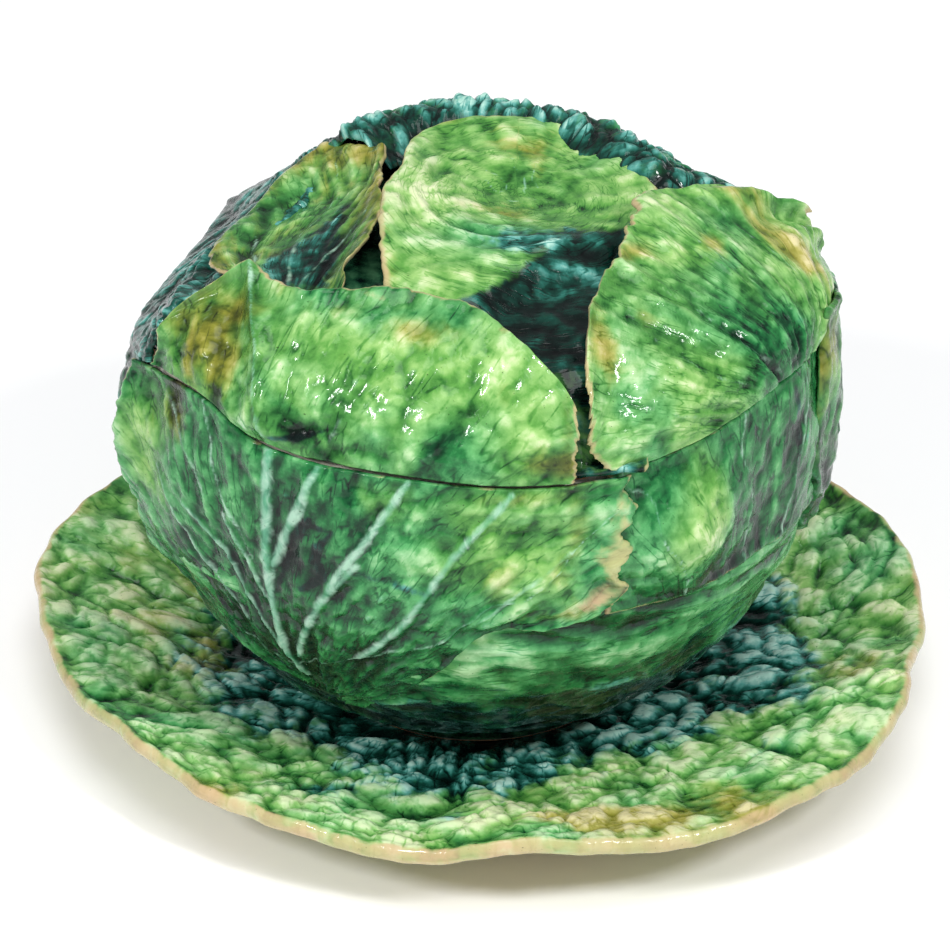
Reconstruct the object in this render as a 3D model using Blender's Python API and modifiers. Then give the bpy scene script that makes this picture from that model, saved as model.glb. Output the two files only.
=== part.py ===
"""Soup tureen in the form of a cabbage: an underplate, a bowl and a lid of glazed earthenware.

The bowl and the lid are thrown walls with separately pressed leaves luted onto them in two layers.
The outer form is one closed curve turned about Z, cut by the seam into bowl and lid. Every piece is laid
out on that round form, and then settled into the uneven one: flattened at the left and a little at the
right, drawn in round the back of the lid, and with a wavy seam. The lid still lifts straight up.
Metres, +Z up, front towards -Y. Azimuths are in degrees from the front, positive towards +X.
"""

import math

import bmesh
import bpy

# Underplate
PLATE_RADIUS = 0.180
PLATE_RIM_TOP = 0.036
PLATE_THICKNESS = 0.0060
PLATE_FOOT_INNER = 0.070
PLATE_FOOT_OUTER = 0.078
PLATE_FOOT_HEIGHT = 0.0045
WELL_RADIUS = 0.066
WELL_FLOOR = 0.0110
# The brim's radius at some azimuths
BRIM_OUTLINE = (
    (-180, 0.178), (-150, 0.184), (-125, 0.188), (-102, 0.188), (-84, 0.176), (-60, 0.169), (-40, 0.168),
    (-10, 0.173), (12, 0.178), (32, 0.184), (52, 0.187), (70, 0.183), (79, 0.180), (92, 0.184), (114, 0.186),
    (140, 0.183), (180, 0.178),
)

# Outer form of bowl and lid
SEAM_Z = 0.178
SEAM_RADIUS = 0.1415
BELLY_RADIUS = 0.1437
BELLY_DEPTH = 0.030
BELLY_TO_BASE = 0.150
BOWL_DEPTH = 0.158
LID_RISE = 0.058
LID_SQUARENESS = 2.3
DOME_RISE = 0.040
DOME_SQUARENESS = 2.7

# Walls and leaves: each layer is given by how far its outer face lies inside the outer form
WALL_THICKNESS = 0.0044
WALL_INSET = 0.0074
LEAF_THICKNESS = 0.0026
INNER_LAYER = 0.0041
OUTER_LAYER = 0.0008
FOOT_INNER = 0.052
FOOT_OUTER = 0.060
FOOT_CLEARANCE = 0.0003
RIM_GAP = 0.0003
LEAF_GAP = 0.0008
LEAF_TIP = 0.062
WHORL_DEPTH = 0.150
SIDE_HEART_REACH = 0.112

# Locating flange under the lid
FLANGE_CLEARANCE = 0.0015
FLANGE_THICKNESS = 0.0036
FLANGE_DEPTH = 0.010
FLANGE_TOP_OUTSIDE = 0.0040
FLANGE_TOP_INSIDE = 0.0118

# The seam's height above SEAM_Z at some azimuths, and how far from the seam its wave dies out
SEAM_WAVE = (
    (-180, 0.000), (-120, 0.002), (-78, 0.001), (-50, 0.011), (-36, 0.003), (-12, 0.001), (13, -0.003),
    (26, 0.000), (42, 0.004), (58, 0.008), (80, 0.007), (115, 0.003), (180, 0.000),
)
SEAM_WAVE_REACH = 0.055

# The form's girth at some azimuths, as a part of the round one's, and the heights between which it starts
GIRTH = (
    (-180, 1.000), (-155, 0.997), (-138, 0.970), (-124, 0.910), (-114, 0.880), (-104, 0.875), (-95, 0.900),
    (-86, 0.945), (-77, 0.985), (-66, 1.000), (74, 1.000), (90, 0.973), (105, 0.960), (130, 0.962),
    (150, 0.990), (165, 1.000), (180, 1.000),
)
GIRTH_FROM = 0.030
GIRTH_FULL = 0.100

# How far the lid is drawn in at some azimuths, and the part of it at some heights, as parts of LID_RISE
DRAWN_IN = (
    (-180, 0.17), (-150, 0.18), (-120, 0.17), (-95, 0.17), (-82, 0.13), (-70, 0.045), (-58, 0.00), (97, 0.00),
    (112, 0.11), (130, 0.17), (180, 0.17),
)
DRAWN_IN_HEIGHTS = (
    (0.0, 0.0), (0.03, 0.02), (0.10, 0.24), (0.24, 0.60), (0.48, 1.00), (0.78, 0.76), (0.95, 0.30), (1.05, 0.0),
)

WALL_STEPS = 72
PLATE_STEPS = 84


def smooth(x):
    """0 below 0, 1 above 1, and an S-curve between."""
    x = min(max(x, 0.0), 1.0)
    return x * x * (3 - 2 * x)


def along(points, x):
    """Reads a smooth curve through a few (x, value) points, level beyond the first and the last."""
    if x <= points[0][0]:
        return points[0][1]
    for i, ((x0, y0), (x1, y1)) in enumerate(zip(points, points[1:])):
        if x > x1:
            continue
        before = points[max(i - 1, 0)]
        after = points[min(i + 2, len(points) - 1)]
        t = (x - x0) / (x1 - x0)
        slope0 = (y1 - before[1]) / (x1 - before[0]) * (x1 - x0)
        slope1 = (after[1] - y0) / (after[0] - x0) * (x1 - x0)
        return (
            y0 * (1 + 2 * t) * (1 - t) ** 2
            + slope0 * t * (1 - t) ** 2
            + y1 * t * t * (3 - 2 * t)
            - slope1 * t * t * (1 - t)
        )
    return points[-1][1]


def lid_form(t):
    """Radius and height above the seam of the lid's outer form, from 0 at the seam to 1 at the top."""
    angle = t * math.pi / 2
    power = 2 / LID_SQUARENESS
    return SEAM_RADIUS * max(math.cos(angle), 0.0) ** power, LID_RISE * math.sin(angle) ** power


def bowl_form(depth):
    """Radius and height of the bowl's outer form at a depth below the seam."""
    if depth < BELLY_DEPTH:
        swell = (1 - max(depth, 0.0) / BELLY_DEPTH) ** 2
        return BELLY_RADIUS - (BELLY_RADIUS - SEAM_RADIUS) * swell, -depth
    return BELLY_RADIUS * math.sqrt(1 - ((depth - BELLY_DEPTH) / BELLY_TO_BASE) ** 2), -depth


def offset_point(form, s, azimuth, inset):
    """A point this far inside the outer form, at s along its profile."""
    step = 1e-4 if form is bowl_form else 1e-3
    low = max(s - step, 0.0 if form is lid_form else -1.0)
    r0, h0 = form(low)
    r1, h1 = form(s + step)
    length = math.hypot(r1 - r0, h1 - h0)
    out_r, out_h = abs(h1 - h0) / length, (r0 - r1) / length
    if form is bowl_form:
        out_h = -out_h
    r, h = form(s)
    a = math.radians(azimuth)
    r -= inset * out_r
    return r * math.sin(a), -r * math.cos(a), SEAM_Z + h - inset * out_h


def settle(point):
    """Moves a point of the round form to its place on the uneven one."""
    x, y, z = point
    azimuth = math.degrees(math.atan2(x, -y))
    wave = along(SEAM_WAVE, azimuth)
    girth = 1 + (along(GIRTH, azimuth) - 1) * smooth((z - GIRTH_FROM) / (GIRTH_FULL - GIRTH_FROM))
    girth *= 1 - along(DRAWN_IN, azimuth) * along(DRAWN_IN_HEIGHTS, (z - SEAM_Z) / LID_RISE)
    return x * girth, y * girth, z + wave * (1 - smooth(abs(z - SEAM_Z) / SEAM_WAVE_REACH))


def glaze(name, colour, roughness=0.2):
    material = bpy.data.materials.new(name)
    material.use_nodes = True
    shader = material.node_tree.nodes["Principled BSDF"]
    shader.inputs["Base Color"].default_value = (*colour, 1.0)
    shader.inputs["Roughness"].default_value = roughness
    shader.inputs["Metallic"].default_value = 0.0
    material.diffuse_color = (*colour, 1.0)
    return material


def add_object(name, mesh, collection, colour, parent):
    mesh.shade_smooth()
    mesh.set_sharp_from_angle(angle=math.radians(40))
    mesh.materials.append(glaze(name + "_glaze", colour))
    obj = bpy.data.objects.new(name, mesh)
    obj.parent = parent
    obj.matrix_parent_inverse = parent.matrix_world.inverted()
    collection.objects.link(obj)
    return obj


def turned_mesh(name, profile, steps, closed, place=settle):
    """Turns a profile of (radius, z) points about Z, then moves each vertex by place."""
    bm = bmesh.new()
    rows = [bm.verts.new((r, 0.0, z)) for r, z in profile]
    ends = list(zip(rows, rows[1:]))
    if closed:
        ends.append((rows[-1], rows[0]))
    edges = [bm.edges.new(pair) for pair in ends]
    bmesh.ops.spin(bm, geom=rows + edges, axis=(0, 0, 1), cent=(0, 0, 0), angle=2 * math.pi, steps=steps)
    bmesh.ops.remove_doubles(bm, verts=bm.verts, dist=1e-6)
    for vert in bm.verts:
        vert.co = place(tuple(vert.co))
    bmesh.ops.recalc_face_normals(bm, faces=bm.faces)
    mesh = bpy.data.meshes.new(name)
    bm.to_mesh(mesh)
    bm.free()
    return mesh


def sheet_mesh(name, columns, rows, place):
    """A grid laid out by place(u, v), with u and v from 0 to 1, and its faces turned outwards."""
    bm = bmesh.new()
    bmesh.ops.create_grid(bm, x_segments=columns, y_segments=rows, size=0.5)
    for vert in bm.verts:
        vert.co = place(vert.co.x + 0.5, vert.co.y + 0.5)
    mesh = bpy.data.meshes.new(name)
    bm.to_mesh(mesh)
    bm.free()
    return mesh


def add_leaf(name, columns, rows, place, collection, colour, parent):
    mesh = sheet_mesh(name, columns, rows, place)
    leaf = add_object(name, mesh, collection, colour, parent)
    shell = leaf.modifiers.new("thickness", "SOLIDIFY")
    shell.thickness = LEAF_THICKNESS
    shell.offset = -1.0
    return leaf


def plate_mesh():
    """The underplate: a shallow dish with a wavy lobed brim and a turned foot ring."""
    brim_run = PLATE_RADIUS - WELL_RADIUS
    top = [(0.0, WELL_FLOOR), (WELL_RADIUS * 0.6, WELL_FLOOR), (WELL_RADIUS, WELL_FLOOR)]
    for i in range(1, 7):
        t = i / 6
        top.append((WELL_RADIUS + brim_run * t, WELL_FLOOR + (PLATE_RIM_TOP - WELL_FLOOR) * t ** 1.25))
    under = [(r + 0.0012, z - PLATE_THICKNESS) for r, z in reversed(top[4:])]
    foot = [
        (PLATE_FOOT_OUTER + 0.002, PLATE_FOOT_HEIGHT + 0.0015),
        (PLATE_FOOT_OUTER, 0.0),
        (PLATE_FOOT_INNER, 0.0),
        (PLATE_FOOT_INNER - 0.001, PLATE_FOOT_HEIGHT),
        (0.0, PLATE_FOOT_HEIGHT),
    ]

    def lobed(point):
        x, y, z = point
        r = math.hypot(x, y)
        reach = smooth((r - 0.085) / (PLATE_RADIUS - 0.085))
        a = math.atan2(x, -y)
        grow = 1 + reach * (along(BRIM_OUTLINE, math.degrees(a)) / PLATE_RADIUS - 1)
        lift = reach * (0.0018 * math.sin(6 * a + 1.0) + 0.0012 * math.sin(11 * a))
        return x * grow, y * grow, z + lift

    return turned_mesh("underplate", top + under + foot, PLATE_STEPS, False, lobed)


def form_profile(form, stops, inset):
    """(radius, z) points of a wall's face inside the outer form."""
    return [(-y, z) for _, y, z in (offset_point(form, s, 0.0, inset) for s in stops)]


def bowl_wall_mesh():
    """The thrown bowl: an open shell with a foot ring, its rim cut along the seam."""
    stops = [BOWL_DEPTH * i / 11 for i in range(12)]
    outer = form_profile(bowl_form, stops, WALL_INSET)
    inner = form_profile(bowl_form, stops, WALL_INSET + WALL_THICKNESS)
    outer = [(r, z - RIM_GAP / 2) for r, z in outer]
    inner = [(r, z - RIM_GAP / 2) for r, z in inner]
    foot_z = WELL_FLOOR + FOOT_CLEARANCE
    foot = [(FOOT_OUTER, foot_z), (FOOT_INNER, foot_z), (FOOT_INNER - 0.002, foot_z + 0.004), (0.0, foot_z + 0.004)]
    floor = [(0.0, inner[-1][1] - 0.0005)]
    return turned_mesh("bowl_wall", outer + foot + floor + inner[::-1], WALL_STEPS, True)


def base_whorl_mesh():
    """The ring of overlapping leaf bases round the bottom of the bowl, from the leaf tips down to the foot."""
    top = LEAF_TIP + 0.0015
    stops = [top + (WHORL_DEPTH - top) * i / 7 for i in range(8)]
    outer = form_profile(bowl_form, stops, INNER_LAYER)
    inner = form_profile(bowl_form, stops, INNER_LAYER + LEAF_THICKNESS)
    return turned_mesh("bowl_leaf_base", outer + inner[::-1], WALL_STEPS, True)


def dome_profile(inset):
    """The lid wall's face: it meets the outer form's inset at the seam and is flatter on top."""
    power = 2 / DOME_SQUARENESS
    points = []
    for i in range(10):
        angle = i / 9 * math.pi / 2
        r = (SEAM_RADIUS - inset) * max(math.cos(angle), 0.0) ** power
        h = (DOME_RISE - inset + WALL_INSET) * math.sin(angle) ** power
        points.append((0.0 if i == 9 else r, SEAM_Z + RIM_GAP / 2 + h))
    return points


def lid_dome_mesh():
    """The lid's thrown dome, a plain shell that carries the leaves and the locating flange."""
    outer = dome_profile(WALL_INSET)
    inner = dome_profile(WALL_INSET + WALL_THICKNESS)
    return turned_mesh("lid_dome", outer + inner[::-1], WALL_STEPS, True)


def flange_mesh():
    """The ring under the lid that drops into the bowl's mouth and keeps the lid from sliding off."""
    outside = SEAM_RADIUS - WALL_INSET - WALL_THICKNESS - FLANGE_CLEARANCE
    inside = outside - FLANGE_THICKNESS
    bottom = SEAM_Z - FLANGE_DEPTH
    profile = [
        (outside, SEAM_Z + FLANGE_TOP_OUTSIDE),
        (outside, bottom + 0.002),
        (outside - 0.001, bottom),
        (inside, bottom),
        (inside, SEAM_Z + FLANGE_TOP_INSIDE),
    ]
    return turned_mesh("lid_flange", profile, WALL_STEPS, True)


def lid_leaf(left, right, top_edge, cup, flare=0.0):
    """Lays out an outer lid leaf between two azimuths, from the seam up to top_edge, cupped at its edge."""
    def place(u, v):
        azimuth = left + (right - left) * u
        rise = v * v
        t = along(top_edge, azimuth) * rise
        stand_off = cup * smooth((rise - 0.35) / 0.65) + flare * smooth((u - 0.55) / 0.45) * smooth(rise / 0.5)
        x, y, z = offset_point(lid_form, t, azimuth, OUTER_LAYER - stand_off)
        return settle((x, y, z + LEAF_GAP / 2))
    return place


def bowl_leaf(left, right, bottom_edge, top_edge, inset, flare):
    """Lays out a bowl leaf between two azimuths, from bottom_edge up to top_edge, both depths below the seam."""
    def place(u, v):
        azimuth = left + (right - left) * u
        bottom = along(bottom_edge, azimuth)
        depth = bottom + (along(top_edge, azimuth) - bottom) * v
        inward = inset - flare * smooth(v / 0.6)
        x, y, z = offset_point(bowl_form, depth, azimuth, inward)
        return settle((x, y, z - LEAF_GAP / 2))
    return place


def heart_leaf(u, v):
    """The crown leaf: a spoon that dips in the middle and runs down to the seam at the front."""
    y = 0.060 - 0.172 * v
    centre = 0.015 + 0.012 * smooth((v - 0.45) / 0.55)
    half = 0.050 * math.sin(math.pi * min(0.12 + 0.88 * v, 0.5)) * (1 - 0.72 * smooth((v - 0.45) / 0.55))
    x = centre + half * (2 * u - 1)
    r = math.hypot(x, y)
    low, high = 0.0, 1.0
    for _ in range(30):
        middle = (low + high) / 2
        if lid_form(middle)[0] > r + 0.004:
            low = middle
        else:
            high = middle
    h = lid_form(low)[1]
    dip = 0.0095 * math.exp(-(((x - 0.017) / 0.026) ** 2 + ((y + 0.004) / 0.030) ** 2))
    return settle((x, y, SEAM_Z + h - 0.0046 - dip))


def side_heart_leaf(u, v):
    """The cupped leaf left of the crown, from the back round to the front-left leaf."""
    azimuth = -128 + 90 * v
    a = math.radians(azimuth)
    inner_y = 0.024 - 0.086 * v
    inner_x = -0.042 - 0.006 * smooth((v - 0.5) / 0.5)
    outer_x = SIDE_HEART_REACH * math.sin(a)
    outer_y = -SIDE_HEART_REACH * math.cos(a)
    x = inner_x + (outer_x - inner_x) * u
    y = inner_y + (outer_y - inner_y) * u
    r = math.hypot(x, y)
    t = math.acos(min(((r + 0.004) / SEAM_RADIUS) ** (LID_SQUARENESS / 2), 1.0)) / (math.pi / 2)
    h = lid_form(t)[1]
    hollow = 0.0035 * math.sin(math.pi * u) * math.sin(math.pi * v)
    return settle((x, y, SEAM_Z + h - 0.0046 - hollow))


def empty(name, z, parent, collection):
    """An origin on the slide axis of one loose piece."""
    origin = bpy.data.objects.new(name, None)
    origin.empty_display_size = 0.02
    origin.location = (0.0, 0.0, z)
    collection.objects.link(origin)
    bpy.context.view_layer.update()
    if parent:
        origin.parent = parent
        origin.matrix_parent_inverse = parent.matrix_world.inverted()
        bpy.context.view_layer.update()
    return origin


GREEN = (0.09, 0.40, 0.07)
LIME = (0.33, 0.52, 0.12)
MOSS = (0.30, 0.36, 0.08)
TEAL = (0.015, 0.12, 0.11)
DEEP_GREEN = (0.02, 0.18, 0.08)
CREAM = (0.72, 0.68, 0.50)

AT_SEAM = ((0, 0.0),)
BOWL_LEAVES = (
    ("bowl_leaf_right", 26, 68, 9, 6, ((0, LEAF_TIP),), AT_SEAM, INNER_LAYER, 0.0, GREEN),
    ("bowl_leaf_far_left", -126, -70, 14, 6, ((0, LEAF_TIP),), AT_SEAM, INNER_LAYER, 0.0, TEAL),
    ("bowl_leaf_back", 110, 232, 26, 6, ((0, LEAF_TIP),), AT_SEAM, INNER_LAYER, 0.0, TEAL),
    (
        "bowl_leaf_front", -66, 24, 18, 9,
        ((-66, 0.085), (-38, 0.128), (-12, 0.100), (4, 0.066), (24, 0.058)), AT_SEAM, OUTER_LAYER, 0.0, GREEN,
    ),
    (
        "bowl_leaf_far_right", 60, 108, 10, 9,
        ((60, 0.060), (80, 0.085), (108, 0.060)), ((60, 0.0), (71, -0.017), (88, -0.010), (108, 0.0)),
        OUTER_LAYER, 0.0045, MOSS,
    ),
)

LID_LEAVES = (
    (
        "lid_leaf_front", -65, 16.5, 17, 9,
        ((-65, 0.34), (-54, 0.52), (-36, 0.54), (-18, 0.60), (-2, 0.56), (8, 0.36), (16.5, 0.10)),
        0.005, 0.0, GREEN,
    ),
    (
        "lid_leaf_right", 18.5, 97, 16, 9,
        ((18.5, 0.42), (28, 0.56), (58, 0.66), (80, 0.60), (97, 0.30)), 0.005, 0.0, LIME,
    ),
    ("lid_leaf_back", 99, 226, 26, 9, ((99, 0.44), (122, 0.56), (175, 0.64), (226, 0.56)), 0.004, 0.0, TEAL),
    ("lid_leaf_far_left", -132, -67, 16, 9, ((-132, 0.56), (-105, 0.53), (-82, 0.46), (-67, 0.22)), 0.004, 0.0, TEAL),
)


def clear_scene():
    for obj in list(bpy.data.objects):
        bpy.data.objects.remove(obj, do_unlink=True)


def main():
    clear_scene()
    parts = bpy.data.collections.new("soup_tureen")
    bpy.context.scene.collection.children.link(parts)

    plate_origin = empty("underplate_origin", 0.0, None, parts)
    bowl_origin = empty("bowl_slide", WELL_FLOOR, plate_origin, parts)
    lid_origin = empty("lid_slide", SEAM_Z, bowl_origin, parts)

    add_object("underplate", plate_mesh(), parts, LIME, plate_origin)
    add_object("bowl_wall", bowl_wall_mesh(), parts, CREAM, bowl_origin)
    add_object("bowl_leaf_base", base_whorl_mesh(), parts, DEEP_GREEN, bowl_origin)
    for name, left, right, columns, rows, bottom_edge, top_edge, inset, flare, colour in BOWL_LEAVES:
        place = bowl_leaf(left, right, bottom_edge, top_edge, inset, flare)
        add_leaf(name, columns, rows, place, parts, colour, bowl_origin)

    add_object("lid_dome", lid_dome_mesh(), parts, CREAM, lid_origin)
    add_object("lid_flange", flange_mesh(), parts, CREAM, lid_origin)
    for name, left, right, columns, rows, top_edge, cup, flare, colour in LID_LEAVES:
        add_leaf(name, columns, rows, lid_leaf(left, right, top_edge, cup, flare), parts, colour, lid_origin)
    add_leaf("lid_leaf_crown", 14, 18, heart_leaf, parts, LIME, lid_origin)
    add_leaf("lid_leaf_left", 9, 14, side_heart_leaf, parts, MOSS, lid_origin)


main()
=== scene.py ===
"""Looks of a cabbage soup tureen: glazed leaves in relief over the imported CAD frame.

Azimuths are in degrees from the front (-Y), positive towards +X. A point of a leaf is given by its azimuth
and its run: how far it lies up the lid (positive) or down the bowl (negative) from the seam, in metres.
"""

import math

import bmesh
import bpy
import numpy as np
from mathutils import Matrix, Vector


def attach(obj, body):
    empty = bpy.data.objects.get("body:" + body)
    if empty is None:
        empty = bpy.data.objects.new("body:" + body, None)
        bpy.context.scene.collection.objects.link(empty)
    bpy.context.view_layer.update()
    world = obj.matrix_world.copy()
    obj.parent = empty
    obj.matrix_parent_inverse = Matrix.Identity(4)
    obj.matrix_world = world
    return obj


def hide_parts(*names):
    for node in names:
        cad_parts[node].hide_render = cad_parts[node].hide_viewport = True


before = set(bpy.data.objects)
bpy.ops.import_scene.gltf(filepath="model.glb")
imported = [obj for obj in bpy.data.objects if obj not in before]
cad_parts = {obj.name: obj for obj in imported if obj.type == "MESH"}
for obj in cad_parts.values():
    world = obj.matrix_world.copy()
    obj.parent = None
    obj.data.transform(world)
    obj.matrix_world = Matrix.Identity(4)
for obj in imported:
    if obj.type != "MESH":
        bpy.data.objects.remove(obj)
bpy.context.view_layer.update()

MM = 0.001

# The outer form of bowl and lid, as in the CAD; the tables are (azimuth, value), or (share of height, value)
SEAM_Z = 0.178
SEAM_RADIUS = 0.1415
BELLY_RADIUS = 0.1437
BELLY_DEPTH = 0.030
BELLY_TO_BASE = 0.150
LID_RISE = 0.058
LID_SQUARENESS = 2.3
DOME_RISE = 0.040
DOME_SQUARENESS = 2.7
WALL_INSET = 0.0074
WALL_THICKNESS = 0.0044
SEAM_GAP = 0.0012
SEAM_OPENINGS = ((50, 9, 1.2 * MM), (-60, 7, 1.0 * MM))  # azimuth, reach in degrees, height
SEAM_WAVE = (
    (-180, 0.000), (-120, 0.002), (-78, 0.001), (-50, 0.011), (-36, 0.003), (-12, 0.001), (13, -0.003),
    (26, 0.000), (42, 0.004), (58, 0.008), (80, 0.007), (115, 0.003), (180, 0.000),
)
SEAM_WAVE_REACH = 0.055
UNROLL = 0.138  # radius at which azimuth is turned into a width across a leaf
GIRTH = (
    (-180, 1.000), (-155, 0.997), (-138, 0.970), (-124, 0.910), (-114, 0.880), (-104, 0.875), (-95, 0.900),
    (-86, 0.945), (-77, 0.985), (-66, 1.000), (74, 1.000), (90, 0.973), (105, 0.960), (130, 0.962),
    (150, 0.990), (165, 1.000), (180, 1.000),
)
GIRTH_FROM = 0.030
GIRTH_FULL = 0.100
DRAWN_IN = (
    (-180, 0.17), (-150, 0.18), (-120, 0.17), (-95, 0.17), (-82, 0.13), (-70, 0.045), (-58, 0.00), (97, 0.00),
    (112, 0.11), (130, 0.17), (180, 0.17),
)
DRAWN_IN_HEIGHTS = (
    (0.0, 0.0), (0.03, 0.02), (0.10, 0.24), (0.24, 0.60), (0.48, 1.00), (0.78, 0.76), (0.95, 0.30),
    (1.05, 0.0),
)
WELL_FLOOR = 0.0110

STEP = 1.25 * MM  # between a leaf's grid points
LIP = 1.5 * MM  # width of a leaf's rounded margin
LEAF_THICKNESS = 2.6 * MM
FORM_STEPS = 600
FOOT_RUN_DEPTH = 0.150  # below the seam, where the leaf bases meet the foot
CUP_FROM = 0.35  # the share of a leaf's height from which it cups outwards
TEAR_SIZE, TEAR_DEPTH = 12 * MM, 1.5 * MM  # along a leaf's sides
WAVE_SIZE, WAVE_DEPTH = 14 * MM, 1.7 * MM  # along its low and high edges


# ---------------------------------------------------------------- curves and noise

def stack(*parts):
    """Coordinates gathered into points, along a new last axis."""
    return np.stack(parts, -1)


def bell(x, centre, width):
    """1 at the centre, and 0.37 at one width away."""
    return np.exp(-((x - centre) / width) ** 2)


def smooth(x):
    """From 0 to 1 over x from 0 to 1, and level beyond."""
    x = np.clip(x, 0.0, 1.0)
    return x * x * (3 - 2 * x)


def fade(x, reach):
    """From 1 where x is 0 to 0 where it is at reach."""
    return smooth((reach - x) / reach)


def along(points, x):
    """Reads a smooth curve through (x, value) points, level beyond its ends."""
    xs = np.array([p[0] for p in points], float)
    ys = np.array([p[1] for p in points], float)
    x = np.clip(np.asarray(x, float), xs[0], xs[-1])
    slopes = np.zeros(len(xs))
    slopes[1:-1] = (ys[2:] - ys[:-2]) / (xs[2:] - xs[:-2])
    slopes[0] = (ys[1] - ys[0]) / (xs[1] - xs[0])
    slopes[-1] = (ys[-1] - ys[-2]) / (xs[-1] - xs[-2])
    i = np.clip(np.searchsorted(xs, x, side="right") - 1, 0, len(xs) - 2)
    width = xs[i + 1] - xs[i]
    t = (x - xs[i]) / width
    return (
        ys[i] * (1 + 2 * t) * (1 - t) ** 2
        + slopes[i] * width * t * (1 - t) ** 2
        + ys[i + 1] * t * t * (3 - 2 * t)
        - slopes[i + 1] * width * t * t * (1 - t)
    )


def lattice(ix, iy, iz, seed):
    """A repeatable pseudo-random number from 0 to 1 at each lattice point."""
    n = (
        ix.astype(np.uint32) * np.uint32(374761393)
        + iy.astype(np.uint32) * np.uint32(668265263)
        + iz.astype(np.uint32) * np.uint32(2246822519)
        + np.uint32((seed * 3266489917) % 2 ** 32)
    )
    n = (n ^ (n >> np.uint32(13))) * np.uint32(1274126177)
    n = (n ^ (n >> np.uint32(15))) * np.uint32(2654435761)
    n ^= n >> np.uint32(16)
    return n.astype(np.float64) / 2 ** 32


def noise(p, size, seed=0):
    """Gradient noise from about -1 to 1 with features of this size, at points p in the last axis."""
    q = np.asarray(p, float) / size
    cell = np.floor(q).astype(np.int64)
    f = q - cell
    fade = f ** 3 * (f * (f * 6 - 15) + 10)
    total = 0.0
    for corner in range(8):
        bits = np.array([corner & 1, corner >> 1 & 1, corner >> 2 & 1])
        c = cell + bits
        turn = 2 * np.pi * lattice(c[..., 0], c[..., 1], c[..., 2], seed)
        lift = 2 * lattice(c[..., 0], c[..., 1], c[..., 2], seed + 57) - 1
        flat = np.sqrt(1 - lift ** 2)
        d = f - bits
        dot = d[..., 0] * flat * np.cos(turn) + d[..., 1] * flat * np.sin(turn) + d[..., 2] * lift
        weight = np.prod(np.where(bits == 1, fade, 1 - fade), axis=-1)
        total = total + weight * dot
    return total * 1.6


def turbulence(p, size, seed=0, octaves=3, gain=0.5):
    """Noise of this size with finer noise over it."""
    total, amount = 0.0, 1.0
    for octave in range(octaves):
        total = total + amount * noise(p, size / 2 ** octave, seed + 11 * octave)
        amount *= gain
    return total


def cells(p, size, seed=0):
    """Distances to the nearest and second nearest scattered points, in units of size."""
    q = np.asarray(p, float) / size
    cell = np.floor(q).astype(np.int64)
    first = np.full(q.shape[:-1], 9.0)
    second = first.copy()
    for dx in (-1, 0, 1):
        for dy in (-1, 0, 1):
            for dz in (-1, 0, 1):
                c = cell + np.array([dx, dy, dz])
                apart = 0.0
                for axis in range(3):
                    spot = c[..., axis] + lattice(c[..., 0], c[..., 1], c[..., 2], seed + 101 * axis)
                    apart = apart + (q[..., axis] - spot) ** 2
                second = np.minimum(second, np.maximum(first, apart))
                first = np.minimum(first, apart)
    return np.sqrt(first), np.sqrt(second)


def ridges(p, size, seed, steepness=2.0):
    """Sharp ridges at 1 where the noise crosses zero, with round valleys between them."""
    return 1 - steepness * np.abs(noise(p, size, seed))


def uneven_cells(p, size, seed, bend):
    """As cells, of points that a slower noise has moved about."""
    moved = p + 0.35 * size * stack(*(noise(p, size * bend, seed + k) for k in (1, 2, 3)))
    return cells(moved, size, seed)


def mounds(p, size, seed=0):
    """Rounded mounds from 0 to 1, close together."""
    near, far = uneven_cells(p, size, seed, 1.4)
    return np.clip(1.15 - (near / 0.85) ** 2, 0, 1) * smooth((far - near) * 3 + 0.35)


def quilting(p, size, seed=0):
    """Savoy puckers from 0 to 1: rounded pillows with pinched valleys between them."""
    near, far = uneven_cells(p, size, seed, 1.3)
    return np.clip((far - near) * 2.0, 0, 1) ** 0.55


# ---------------------------------------------------------------- the outer form

def lid_form(t):
    """Radius and height of the lid's profile, for t from 0 at the seam to 1 at the top."""
    angle = np.clip(t, 0, 1) * np.pi / 2
    power = 2 / LID_SQUARENESS
    return SEAM_RADIUS * np.maximum(np.cos(angle), 0) ** power, LID_RISE * np.sin(angle) ** power


def bowl_form(depth):
    """Radius and height of the bowl's profile at depths below the seam."""
    belly = BELLY_RADIUS - (BELLY_RADIUS - SEAM_RADIUS) * (1 - np.clip(depth / BELLY_DEPTH, 0, 1)) ** 2
    lower = BELLY_RADIUS * np.sqrt(np.clip(1 - ((depth - BELLY_DEPTH) / BELLY_TO_BASE) ** 2, 0, 1))
    return np.where(depth < BELLY_DEPTH, belly, lower), -depth


def run_table(form, last):
    """A profile's parameter from 0 to last, and the length run along it by each."""
    s = np.linspace(0, last, FORM_STEPS)
    r, h = form(s)
    return s, np.concatenate([[0], np.cumsum(np.hypot(np.diff(r), np.diff(h)))])


LID_S, LID_RUN = run_table(lid_form, 1.0)
LID_HEIGHTS = lid_form(LID_S)[1]
BOWL_S, BOWL_RUN = run_table(bowl_form, 0.165)


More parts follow.
